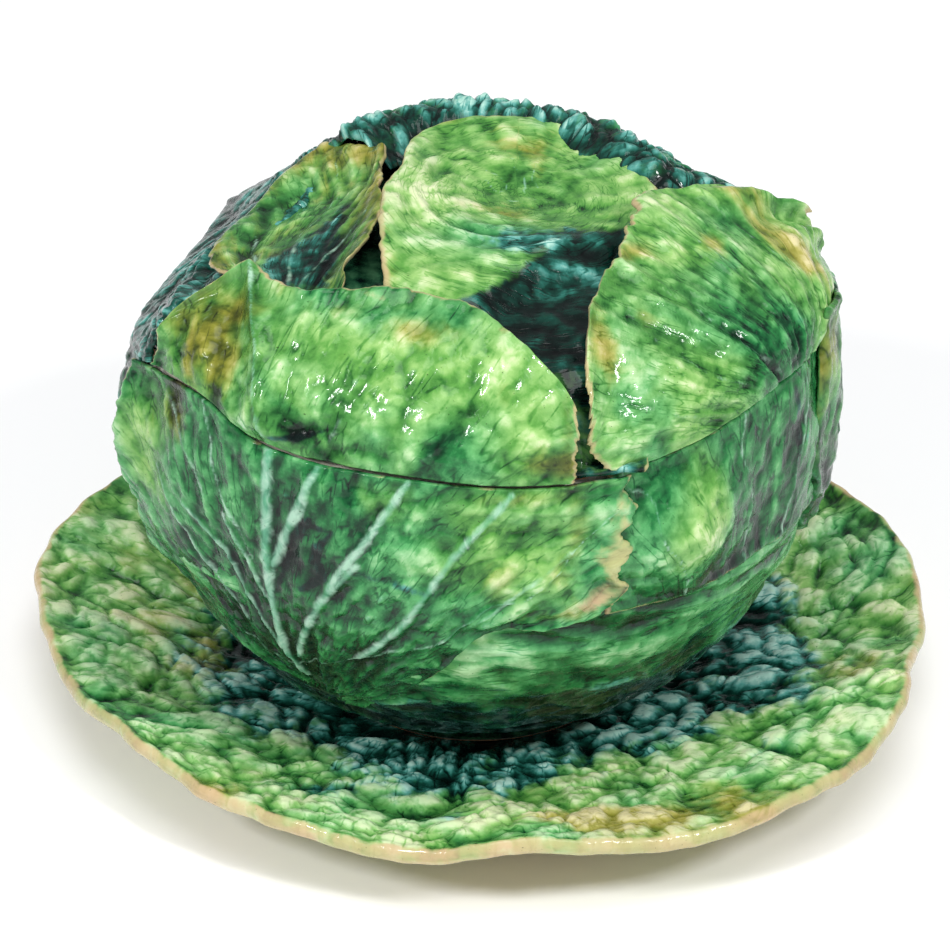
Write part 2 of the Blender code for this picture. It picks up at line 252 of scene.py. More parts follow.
def on_form(azimuth, run):
    """Points on the outer form and their outward normals; a run above the seam is positive."""
    a = np.radians(azimuth)
    up = run >= 0
    t = np.interp(run, LID_RUN, LID_S)
    depth = np.where(-run > BOWL_RUN[-1], BOWL_S[-1], np.interp(-run, BOWL_RUN, BOWL_S))
    pairs = []
    for form, s, step, low in ((lid_form, t, 2e-3, 0.0), (bowl_form, depth, 2e-4, -1.0)):
        r, h = form(s)
        r0, h0 = form(np.maximum(s - step, low))
        r1, h1 = form(s + step)
        length = np.hypot(r1 - r0, h1 - h0) + 1e-12
        pairs.append((r, h, np.abs(h1 - h0) / length, (r0 - r1) / length))
    (lr, lh, lnr, lnh), (br, bh, bnr, bnh) = pairs
    r, h = np.where(up, lr, br), np.where(up, lh, bh)
    nr, nh = np.where(up, lnr, bnr), np.where(up, lnh, -bnh)
    point = stack(r * np.sin(a), -r * np.cos(a), SEAM_Z + h)
    normal = stack(nr * np.sin(a), -nr * np.cos(a), nh)
    return point, normal


def above_seam(azimuth, rise):
    """Points of the upright wall that a bowl leaf follows where it stands up past the seam."""
    a = np.radians(azimuth)
    z = SEAM_Z + rise
    point = stack(SEAM_RADIUS * np.sin(a), -SEAM_RADIUS * np.cos(a), z)
    normal = stack(np.sin(a), -np.cos(a), 0 * a)
    return point, normal


def seam_wave(azimuth, height):
    """How far the wavy seam lifts what lies at this height above it."""
    return along(SEAM_WAVE, azimuth) * (1 - smooth(np.abs(height) / SEAM_WAVE_REACH))


def settle(p):
    """Moves points of the round form to their places on the uneven one, as in the CAD."""
    azimuth = np.degrees(np.arctan2(p[..., 0], -p[..., 1]))
    z = p[..., 2]
    girth = 1 + (along(GIRTH, azimuth) - 1) * smooth((z - GIRTH_FROM) / (GIRTH_FULL - GIRTH_FROM))
    girth = girth * (1 - along(DRAWN_IN, azimuth) * along(DRAWN_IN_HEIGHTS, (z - SEAM_Z) / LID_RISE))
    return stack(p[..., 0] * girth, p[..., 1] * girth, z + seam_wave(azimuth, z - SEAM_Z))


def form_height(r):
    """Height of the lid's outer form above the seam at a plan radius."""
    t = np.arccos(np.clip((r / SEAM_RADIUS), 0, 1) ** (LID_SQUARENESS / 2)) / (np.pi / 2)
    return lid_form(t)[1]


# ---------------------------------------------------------------- meshes

def spread(length):
    """Grid positions from 0 to 1 along a length: a step apart, and closer at both lips."""
    near = np.array([0.0, 0.12, 0.38, 0.75]) * LIP / length
    middle = np.linspace(1.2 * LIP / length, 1 - 1.2 * LIP / length, max(3, int(length / STEP)))
    return np.concatenate([near, middle, 1 - near[::-1]])


def rounding(distance, lip=LIP):
    """How full a leaf is near its margin: 0 at the very edge, rising in a quarter circle to 1."""
    d = np.clip(distance / lip, 0, 1)
    return np.maximum(np.sqrt(1 - (1 - d) ** 2), 0.1)


def mesh_object(name, points, quads, material, values):
    """A smooth mesh of quads, with each of the values as a point attribute for its material."""
    mesh = bpy.data.meshes.new(name)
    mesh.vertices.add(len(points))
    mesh.vertices.foreach_set("co", np.ascontiguousarray(points, np.float32).ravel())
    mesh.loops.add(quads.size)
    mesh.loops.foreach_set("vertex_index", quads.astype(np.int32).ravel())
    mesh.polygons.add(len(quads))
    mesh.polygons.foreach_set("loop_start", np.arange(0, quads.size, 4, dtype=np.int32))
    mesh.polygons.foreach_set("use_smooth", np.ones(len(quads), bool))
    mesh.update(calc_edges=True)
    for key, value in values.items():
        value = np.asarray(value, np.float32)
        if value.ndim == 2:
            attribute = mesh.attributes.new(key, "FLOAT_VECTOR", "POINT")
            attribute.data.foreach_set("vector", np.ascontiguousarray(value).ravel())
        else:
            attribute = mesh.attributes.new(key, "FLOAT", "POINT")
            attribute.data.foreach_set("value", value)
    mesh.validate()
    mesh.materials.append(material)
    obj = bpy.data.objects.new(name, mesh)
    bpy.context.scene.collection.objects.link(obj)
    return obj


def shell_object(name, outer, inner, material, values, inner_values, wrap=False):
    """A closed shell between two grids of points, joined by rims at its borders.

    With wrap, the grid's two sides meet each other instead.
    """
    rows, columns = outer.shape[:2]
    count = rows * columns
    index = np.arange(count).reshape(rows, columns)
    if wrap:
        index = np.concatenate([index, index[:, :1]], axis=1)
    a, b, c, d = index[:-1, :-1], index[:-1, 1:], index[1:, 1:], index[1:, :-1]
    top = stack(a, b, c, d).reshape(-1, 4)
    bottom = top[:, ::-1] + count
    if wrap:
        border = np.concatenate([index[0, :-1], index[-1, :0:-1]])
        following = np.concatenate([index[0, 1:], index[-1, -2::-1]])
    else:
        border = np.concatenate([index[0, :-1], index[:-1, -1], index[-1, :0:-1], index[:0:-1, 0]])
        following = np.roll(border, -1)
    rim = stack(following, border, border + count, following + count)
    points = np.concatenate([outer.reshape(-1, 3), inner.reshape(-1, 3)])
    quads = np.concatenate([top, bottom, rim])
    facing = np.cross(outer[1:, :-1] - outer[:-1, :-1], outer[:-1, 1:] - outer[:-1, :-1]).reshape(-1, 3)
    outward = (outer - inner)[:-1, :-1].reshape(-1, 3)
    if (facing * outward).sum() > 0:
        quads = quads[:, ::-1]
    both = {}
    for key, value in values.items():
        inside = np.broadcast_to(inner_values.get(key, value), value.shape)
        shape = (count, -1) if value.ndim == 3 else (count,)
        both[key] = np.concatenate([value.reshape(shape), inside.reshape(shape)])
    return mesh_object(name, points, quads, material, both)


def stand_for(piece, body, node):
    """Gives a piece its body, and hides the CAD node that it stands for."""
    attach(piece, body)
    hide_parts(node)


def turned_object(name, points, material, values):
    """A closed skin from a grid of points: its rows run round Z, and its columns from the axis back to it."""
    rows, columns = points.shape[:2]
    index = np.arange(rows * columns).reshape(rows, columns)
    right = np.roll(index, -1, axis=0)
    quads = stack(index[:, :-1], index[:, 1:], right[:, 1:], right[:, :-1]).reshape(-1, 4)
    flat = {key: np.broadcast_to(value, (rows, columns) + value.shape[2:]) for key, value in values.items()}
    flat = {key: value.reshape((rows * columns,) + value.shape[2:]) for key, value in flat.items()}
    obj = mesh_object(name, points.reshape(-1, 3), quads, material, flat)
    bm = bmesh.new()
    bm.from_mesh(obj.data)
    bmesh.ops.remove_doubles(bm, verts=bm.verts, dist=1e-7)
    if bm.calc_volume(signed=True) < 0:
        bmesh.ops.reverse_faces(bm, faces=bm.faces)
    bm.to_mesh(obj.data)
    bm.free()
    return obj


def turned_points(radius, height, steps):
    """A profile turned round Z, as a grid whose rows are the turns."""
    turn = np.linspace(0, 2 * np.pi, steps, endpoint=False)[:, None]
    radius, height = np.asarray(radius, float)[None], np.asarray(height, float)[None]
    return stack(radius * np.sin(turn), -radius * np.cos(turn), height + 0 * turn)


# ---------------------------------------------------------------- leaf relief

def fan_of(p, base, tip):
    """Polar coordinates about a leaf's base, in the plane that the leaf roughly lies in.

    base and tip are (azimuth, run) places. Gives the angle from the midrib, and the distance.
    """
    start, start_normal = (part[0] for part in on_form(*(np.array([value]) for value in base)))
    end, end_normal = (part[0] for part in on_form(*(np.array([value]) for value in tip)))
    ahead = (end - start) / np.linalg.norm(end - start)
    outward = start_normal + end_normal
    aside = np.cross(ahead, outward)
    aside /= np.linalg.norm(aside)
    rest = p - start
    return np.arctan2(rest @ aside, rest @ ahead), np.linalg.norm(rest, axis=-1)


def vein_field(theta, rho, p, veins, seed):
    """Raised veins that leave the midrib one after another and bend away from it."""
    field = np.zeros_like(rho)
    sway = 0.05 * noise(p, 0.035, seed) + 0.02 * noise(p, 0.012, seed + 5)
    for angle, start, bend, width in veins:
        part = 1 - np.exp(-np.clip(rho - start, 0, None) / bend)
        off = (theta - math.radians(angle) * part - sway) * rho
        thin = width * (1 - 0.55 * smooth((rho - start) / 0.13))
        field = np.maximum(field, bell(off, 0, thin) * smooth((rho - start) / 0.008 + 0.5))
    return field


def side_veins(count, first, spacing, spread_angle):
    """The usual cabbage pattern: pairs of veins that leave the midrib at even spaces."""
    veins = [(0.0, 0.0, 0.05, 2.6 * MM)]
    for i in range(count):
        angle = spread_angle * (1 - 0.55 * i / count)
        start = first + spacing * i
        width = 1.5 * MM * (1 - 0.08 * i)
        veins.append((angle, start, 0.030, width))
        veins.append((-angle * 0.95, start + spacing * 0.45, 0.030, width))
    return veins


def spots(x, y, *places):
    """Soft blots added up, each (strength, x, y, width, height)."""
    total = 0 * x
    for strength, at_x, at_y, width, height in places:
        total = total + strength * np.exp(-((x - at_x) / width) ** 2 - ((y - at_y) / height) ** 2)
    return total


def across(azimuth):
    """How far round the unrolled form an azimuth lies, in metres."""
    return np.radians(azimuth) * UNROLL


def level(azimuth, height):
    """The run of a place given by its azimuth and its height in millimetres above the seam's middle plane."""
    h = height * MM
    h -= float(seam_wave(np.array(float(azimuth)), h))
    if h < 0:
        return -float(np.interp(-h, BOWL_S, BOWL_RUN))
    return float(np.interp(h, LID_HEIGHTS, LID_RUN))


def blots(*places):
    """A mask of soft blots, each (azimuth, height, width, tall, strength), with its sizes in millimetres."""
    def mask(azimuth, run):
        return spots(across(azimuth), run, *(
            (strength, across(place), level(place, height), width * MM, tall * MM)
            for place, height, width, tall, strength in places
        ))
    return mask


def strokes(*lines):
    """A mask of soft lines, each (width, strength, then (azimuth, height) places), in millimetres."""
    def mask(azimuth, run):
        x, y, total = across(azimuth), run, 0 * run
        for width, strength, *places in lines:
            route = [(across(place), level(place, height)) for place, height in places]
            nearest = np.full_like(run, 9.0)
            for (x0, y0), (x1, y1) in zip(route, route[1:]):
                dx, dy = x1 - x0, y1 - y0
                part = np.clip(((x - x0) * dx + (y - y0) * dy) / (dx * dx + dy * dy), 0, 1)
                nearest = np.minimum(nearest, np.hypot(x - x0 - part * dx, y - y0 - part * dy))
            total = np.maximum(total, strength * bell(nearest, 0, width * MM))
        return total
    return mask


def both(*masks):
    """Masks added together."""
    return lambda azimuth, run: sum(mask(azimuth, run) for mask in masks)


def evenly(amount):
    """The same amount everywhere."""
    return lambda azimuth, run: amount + 0 * run


# ---------------------------------------------------------------- materials

def srgb(red, green, blue):
    """A colour given as in a paint program, 0 to 255, in the renderer's linear values."""
    channels = []
    for value in (red, green, blue):
        v = value / 255
        channels.append(v / 12.92 if v <= 0.04045 else ((v + 0.055) / 1.055) ** 2.4)
    return (*channels, 1.0)


class Graph:
    """Short calls for building a material's nodes."""

    def __init__(self, name):
        self.material = bpy.data.materials.new(name)
        self.material.use_nodes = True
        self.tree = self.material.node_tree
        self.shader = self.tree.nodes["Principled BSDF"]

    def put(self, socket, value):
        if isinstance(value, bpy.types.NodeSocket):
            self.tree.links.new(value, socket)
        else:
            socket.default_value = value

    def node(self, kind, settings=None, **inputs):
        node = self.tree.nodes.new(kind)
        for key, value in (settings or {}).items():
            setattr(node, key, value)
        for key, value in inputs.items():
            self.put(node.inputs[key], value)
        return node

    def value(self, name):
        return self.node("ShaderNodeAttribute", {"attribute_name": name}).outputs["Fac"]

    def vector(self, name):
        return self.node("ShaderNodeAttribute", {"attribute_name": name}).outputs["Vector"]

    def math(self, operation, a, b):
        node = self.node("ShaderNodeMath", {"operation": operation})
        self.put(node.inputs[0], a)
        self.put(node.inputs[1], b)
        return node.outputs[0]

    def stirred(self, value, *noises):
        """The value with noises added, each as (noise, amount) and centred on zero."""
        for noise, amount in noises:
            value = self.math("ADD", value, self.math("MULTIPLY", self.math("SUBTRACT", noise, 0.5), amount))
        return value

    def noise(self, vector, scale, detail=3.0, distortion=0.0, roughness=0.5):
        return self.node(
            "ShaderNodeTexNoise", Vector=vector, Scale=scale, Detail=detail, Distortion=distortion,
            Roughness=roughness,
        ).outputs["Fac"]

    def remap(self, value, low, high, new_low=0.0, new_high=1.0):
        limits = {"From Min": low, "From Max": high, "To Min": new_low, "To Max": new_high}
        node = self.node("ShaderNodeMapRange", {"interpolation_type": "SMOOTHSTEP"}, Value=value, **limits)
        return node.outputs[0]

    def mix(self, factor, a, b):
        node = self.node("ShaderNodeMix", {"data_type": "RGBA"})
        self.put(node.inputs[0], factor)
        self.put(node.inputs[6], a)
        self.put(node.inputs[7], b)
        return node.outputs[2]

    def ramp(self, factor, stops):
        node = self.node("ShaderNodeValToRGB", Fac=factor)
        elements = node.color_ramp.elements
        while len(elements) < len(stops):
            elements.new(0.5)
        for element, (place, colour) in zip(elements, stops):
            element.position = place
            element.color = colour
        return node.outputs["Color"]


GREENS = (
    (0.00, srgb(4, 20, 14)), (0.22, srgb(12, 60, 34)), (0.46, srgb(36, 110, 58)),
    (0.70, srgb(84, 158, 96)), (1.00, srgb(164, 208, 158)),
)
LIMES = (
    (0.00, srgb(14, 48, 20)), (0.22, srgb(48, 106, 42)), (0.46, srgb(92, 150, 68)),
    (0.72, srgb(144, 186, 108)), (1.00, srgb(212, 222, 176)),
)
OLIVES = (
    (0.00, srgb(36, 40, 12)), (0.24, srgb(78, 80, 24)), (0.48, srgb(126, 122, 42)),
    (0.74, srgb(168, 158, 84)), (1.00, srgb(208, 196, 148)),
)
TEALS = (
    (0.00, srgb(2, 6, 6)), (0.28, srgb(5, 24, 20)), (0.50, srgb(13, 56, 46)), (0.66, srgb(36, 100, 88)),
    (0.82, srgb(88, 156, 146)), (1.00, srgb(166, 208, 194)),
)

VEIN_PALES = ((0.38, srgb(98, 168, 134)), (0.62, srgb(168, 206, 182)))
WORN_EDGES = ((0.40, srgb(180, 174, 122)), (0.62, srgb(192, 164, 128)))
CREAMS = ((0.30, srgb(224, 222, 200)), (0.55, srgb(236, 232, 214)), (0.75, srgb(214, 220, 190)))
CLAYS = ((0.30, srgb(196, 120, 78)), (0.70, srgb(226, 164, 120)))
# dark greens painted as shade, on the dome's outside and near the bowl's foot
SHADE_DARKS = ((0.35, srgb(6, 22, 20)), (0.50, srgb(30, 74, 50)), (0.70, srgb(70, 120, 84)))
GLAZE_IOR = 1.45


def glaze(name, lightness=0.0):
    """Coloured lead glaze: pale over ridges and dark in hollows and creases, partly glaze that thins and
    pools and partly painted shade, with streaks and blots.
    """
    g = Graph(name)
    place = g.node("ShaderNodeTexCoord").outputs["Object"]
    flow = g.vector("flow")
    relief, vein, rim = g.value("relief"), g.value("vein"), g.value("rim")
    teal, ochre, lime = g.value("teal"), g.value("ochre"), g.value("lime")

    wash = g.noise(place, 26.0, 3.0, 0.8)
    mottle = g.noise(place, 90.0, 3.0, 1.2, 0.55)
    fine = g.noise(place, 300.0, 3.0, 0.4, 0.6)
    streak = g.noise(flow, 1.0, 4.0, 0.7, 0.6)

    wander = g.node("ShaderNodeTexNoise", Vector=flow, Scale=1.6, Detail=2.0).outputs["Color"]
    bent = g.node("ShaderNodeVectorMath", {"operation": "ADD"})
    g.put(bent.inputs[0], flow)
    g.put(bent.inputs[1], wander)
    folds = g.node("ShaderNodeTexVoronoi", {"feature": "DISTANCE_TO_EDGE"}, Vector=bent.outputs[0], Scale=2.6)
    # darker along the creases of these folds, partly glaze pooling and partly painted shade; the bump sinks
    # them too
    crease = g.remap(folds.outputs["Distance"], 0.0, 0.11, 1.0, 0.0)
    crease = g.math("MULTIPLY", crease, g.remap(mottle, 0.40, 0.62))
    # the relief attribute carries painted shade from the leaf's relief: lighter on ridges, darker in hollows
    tone = g.math("SUBTRACT", g.math("ADD", relief, lightness), g.math("MULTIPLY", crease, 0.24))
    tone = g.stirred(tone, (wash, 0.24), (mottle, 0.24), (fine, 0.32), (streak, 0.66))
    tone = g.math("MAXIMUM", g.math("MINIMUM", tone, 1.0), 0.0)

    colour = g.ramp(tone, GREENS)
    for amount, low, high, most, paint in (
        (g.stirred(lime, (wash, 1.2)), 0.2, 0.8, 1.0, g.ramp(tone, LIMES)),
        (g.stirred(ochre, (wash, 1.3), (streak, 0.9)), 0.25, 0.85, 0.92, g.ramp(tone, OLIVES)),
        (g.stirred(teal, (mottle, 1.0), (streak, 0.8)), 0.25, 0.75, 1.0, g.ramp(tone, TEALS)),
        (g.stirred(vein, (mottle, 1.0)), 0.25, 0.85, 0.85, g.ramp(mottle, VEIN_PALES)),
        (g.stirred(rim, (mottle, 1.1)), 0.5, 1.0, 0.85, g.ramp(wash, WORN_EDGES)),
        (g.noise(place, 800.0, 1.0), 0.74, 0.78, 0.6, srgb(30, 44, 20)),
    ):
        colour = g.mix(g.remap(amount, low, high, 0.0, most), colour, paint)
    g.put(g.shader.inputs["Base Color"], colour)
    g.put(g.shader.inputs["Roughness"], g.remap(fine, 0.3, 0.7, 0.16, 0.34))
    g.shader.inputs["IOR"].default_value = GLAZE_IOR
    g.shader.inputs["Specular IOR Level"].default_value = 0.1
    g.shader.inputs["Coat Weight"].default_value = 0.42
    g.shader.inputs["Coat Roughness"].default_value = 0.07
    g.shader.inputs["Coat IOR"].default_value = GLAZE_IOR
    ripple = g.math("ADD", g.noise(place, 150.0, 2.0, 0.8), g.math("MULTIPLY", fine, 0.30))
    ripple = g.math("SUBTRACT", ripple, g.math("MULTIPLY", crease, 0.22))
    bump = g.node("ShaderNodeBump", Strength=0.40, Distance=0.0014, Height=ripple)
    g.put(g.shader.inputs["Normal"], bump.outputs["Normal"])
    gloss = g.node("ShaderNodeBump", Strength=0.16, Distance=0.0014, Height=ripple)
    g.put(g.shader.inputs["Coat Normal"], gloss.outputs["Normal"])
    return g.material


def cream_glaze(name):
    """The plain cream glaze inside, crazed: bare clay where "bare" is 1, and dark green painted shade where
    "dark" is 1.
    """
    g = Graph(name)
    place = g.node("ShaderNodeTexCoord").outputs["Object"]
    wash = g.noise(place, 22.0, 4.0, 0.5)
    mottle = g.noise(place, 160.0, 3.0)
    bare, dark = g.value("bare"), g.value("dark")
    colour = g.ramp(wash, CREAMS)
    bits = g.node("ShaderNodeTexVoronoi", {"feature": "DISTANCE_TO_EDGE"}, Vector=place, Scale=170.0)
    crazing = g.remap(bits.outputs["Distance"], 0.0, 0.03, 0.35, 0.0)
    colour = g.mix(crazing, colour, srgb(150, 128, 96))
    open_clay = g.remap(g.stirred(bare, (mottle, 0.8)), 0.4, 0.7)
    # painted shade: dark green where "dark" is 1
    colour = g.mix(dark, colour, g.ramp(mottle, SHADE_DARKS))
    g.put(g.shader.inputs["Base Color"], g.mix(open_clay, colour, g.ramp(mottle, CLAYS)))
    g.put(g.shader.inputs["Roughness"], g.remap(open_clay, 0.0, 1.0, 0.16, 0.85))
    g.shader.inputs["Coat Weight"].default_value = 0.4
    g.shader.inputs["Coat Roughness"].default_value = 0.06
    bump = g.node("ShaderNodeBump", Strength=0.35, Distance=0.0006, Height=mottle)
    g.put(g.shader.inputs["Normal"], bump.outputs["Normal"])
    return g.material


# ---------------------------------------------------------------- leaves on the form

def fanned(theta, rho):
    """The flow of a glaze that streaks out from a leaf's base."""
    return stack(theta * 10.0, rho * 26.0, 0 * rho)


def glaze_values(flow, relief, vein, rim, teal, ochre, lime):
    """The point attributes that the glaze reads; its streaks are stretched where flow changes slowly."""
    level_field = 0 * flow[..., 0]
    values = {"relief": relief, "vein": vein, "rim": rim, "teal": teal, "ochre": ochre, "lime": lime}
    values = {key: np.clip(value + level_field, 0, 1) for key, value in values.items()}
    return {**values, "flow": flow}


def leaf_relief(p, theta, rho, veins, seed, puckers=1.0, pleats=0.0, folds=1.0, swells=1.0):
    """Height in metres and its shade: broad folds, long swells from the base, puckers, and pleats."""
    vein = vein_field(theta, rho, p, veins, seed) if veins else 0 * rho
    fan = stack(theta * 0.10, rho * 0.50, 0 * rho)
    broad = noise(p, 0.044, seed + 2)
    swell = noise(fan, 0.020, seed + 3)
    crease = ridges(fan, 0.013, seed + 7, 2.2)
    long_cells = stack(theta * 0.125, rho * (1.25 - 0.63 * swells), 0 * rho)
    pucker = quilting(long_cells, 0.0120, seed + 4) - 0.5
    net = quilting(p, 0.0066, seed + 8) - 0.5
    ripple = turbulence(p, 0.0070, seed + 5, 2)
    pleat = ridges(stack(theta, rho * 0.9, 0 * rho), 0.085, seed + 6)
    height = MM * (
        2.4 * folds * broad + 2.7 * swells * swell + 1.1 * swells * crease + 0.45 * ripple + 0.7 * vein
        + 1.2 * puckers * pucker * (1 - vein) + 0.45 * puckers * net + 1.6 * pleats * pleat
    )
    shade = (
        0.47 + 0.12 * broad + 0.18 * swells * swell + 0.18 * swells * crease + 0.26 * puckers * pucker
        + 0.20 * net + 0.20 * ripple + 0.22 * pleats * pleat
    )
    return height, shade, vein


def form_leaf(
    name, body, material, left, right, low, high, base, tip, veins, seed,
    cuts=(), inset=0.8 * MM, cup=0.0, ragged=1.0, bumps=None, ribs=None,
    puckers=1.0, pleats=0.0, folds=1.0, swells=1.0,
    tone=None, teal=None, ochre=None, lime=None, worn=None, edging=None, inside=0.7,
):
    """A leaf on the outer form between two azimuth curves and two run curves.

    left and right are curves of azimuth over v, low and high curves of run over azimuth, with v from 0 at
    low to 1 at high. base and tip are places that the veins run between. cuts names the edges that the seam
    cuts flat. The masks, from tone to edging, take an azimuth and a run; bumps takes u and v too, and gives
    how far the leaf stands off, in millimetres. inside is how teal the leaf's hidden side is.
    """
    width = across(right[0][1] - left[0][1])
    sample = np.linspace(left[0][1], right[0][1], 9)
    tall = float(np.max(np.abs(along(high, sample) - along(low, sample))))
    v, u = np.meshgrid(spread(tall), spread(width), indexing="ij")
    a_left, a_right = along(left, v), along(right, v)
    azimuth = a_left + (a_right - a_left) * u
    edge = stack(across(azimuth), v * tall, 0 * v)
    jag = turbulence(edge, TEAR_SIZE, seed + 21, 3, 0.6) * TEAR_DEPTH * ragged
    azimuth = azimuth + np.degrees(jag / UNROLL) * (smooth((u - 0.8) / 0.2) + fade(u, 0.2))
    run_low, run_high = along(low, azimuth), along(high, azimuth)
    if "high" not in cuts:
        run_high = run_high + turbulence(edge * [1, 0, 0], WAVE_SIZE, seed + 23, 3, 0.6) * WAVE_DEPTH * ragged
    if "low" not in cuts:
        run_low = run_low + turbulence(edge * [1, 0, 0], WAVE_SIZE, seed + 25, 3, 0.6) * WAVE_DEPTH * ragged
    run = run_low + (run_high - run_low) * v
    if body == "bowl":
        below, below_n = on_form(azimuth, np.minimum(run, -1e-6))
        over, over_n = above_seam(azimuth, np.maximum(run, 0))
        over_rim = (run > 0)[..., None]
        point, normal = np.where(over_rim, over, below), np.where(over_rim, over_n, below_n)
    else:
        point, normal = on_form(azimuth, run)
    theta, rho = fan_of(point, base, tip)
    height, shade, vein = leaf_relief(point, theta, rho, veins, seed, puckers, pleats, folds, swells)

    def mask(given, otherwise=0.0):
        return given(azimuth, run) if given else otherwise + 0 * run

    rib = mask(ribs)
    # a trough beside each rib: sunk, and darkened as painted shade
    rib_trough = np.clip(rib, 0, 1) ** 0.15 * (1 - np.clip(rib, 0, 1))
    vein = np.maximum(vein * 0.6, rib)
    height = height * (1 - 0.45 * rib) + MM * (1.5 * rib - 0.9 * rib_trough)
    side = np.minimum(u, 1 - u) * width
    margin, at_cut = side, 1.0 + 0 * side
    for border, distance in (("low", v * tall), ("high", (1 - v) * tall)):
        if border in cuts:
            at_cut = np.minimum(at_cut, distance)
        else:
            margin = np.minimum(margin, distance)
    full = rounding(margin) * np.minimum(rounding(at_cut, 0.8 * MM) + 0.25, 1.0)
    stand_off = cup * smooth((v - CUP_FROM) / (1 - CUP_FROM))
    if bumps:
        stand_off = stand_off + MM * bumps(u, v, azimuth, run)
    calm = (smooth(margin / (4 * MM)) * 0.75 + 0.25) * (0.3 + 0.7 * smooth(at_cut / (7 * MM)))
    bead = 0.8 * MM * bell(margin, 2.6 * MM, 2.0 * MM)
    middle = stand_off - inset - LEAF_THICKNESS / 2 + height * calm + bead
    half = LEAF_THICKNESS / 2 * full
    outer = point + normal * (middle + half)[..., None]
    inner = point + normal * (middle - half)[..., None]
    lift = -SEAM_GAP / 2
    if body == "lid":
        opening = sum(rise * bell(azimuth, place, reach) for place, reach, rise in SEAM_OPENINGS)
        lift = SEAM_GAP / 2 + opening * (1 - smooth(v / 0.3))
    outer[..., 2] += lift
    inner[..., 2] += lift
    rim = np.maximum(bell(margin, 0, 2.4 * MM), 0.5 * bell(at_cut, 0, 0.9 * MM))
    rim = np.maximum(rim * mask(edging, 1.0), mask(worn))
    shade = shade + mask(tone) + 0.15 * rim - 0.20 * rib_trough
    dark = mask(teal)
    rim = rim * (1 - 0.75 * np.clip(dark, 0, 1))
    values = glaze_values(fanned(theta, rho), shade, vein, rim, dark, mask(ochre), mask(lime, 0.5))
    hidden = {"vein": np.array(0.0), "teal": np.array(inside), "ochre": np.array(0.0)}
    piece = shell_object(name, settle(outer), settle(inner), material, values, hidden)
    stand_for(piece, body, name.replace("glazed_", ""))


def up(t):
    """The run at a place on the lid's profile, from 0 at the seam to 1 at the top."""
    return float(np.interp(t, LID_S, LID_RUN))


def down(depth):
    """The run at a depth below the seam."""
    return -float(np.interp(depth, BOWL_S, BOWL_RUN))


def depth_at(*places):
    """A run curve through (azimuth, depth below the seam in metres) places."""
    return tuple((azimuth, down(depth)) for azimuth, depth in places)


def edge_at(*places):
    """A run curve through (azimuth, height in millimetres) places."""
    return tuple((azimuth, level(azimuth, height)) for azimuth, height in places)


AT_SEAM = ((-400, 0.0), (400, 0.0))  # an edge that follows the seam all round


def side(azimuth, lean=0.0):
    """A leaf's side at this azimuth, leaning by so many degrees at its top."""
    return ((0, azimuth), (1, azimuth + lean))


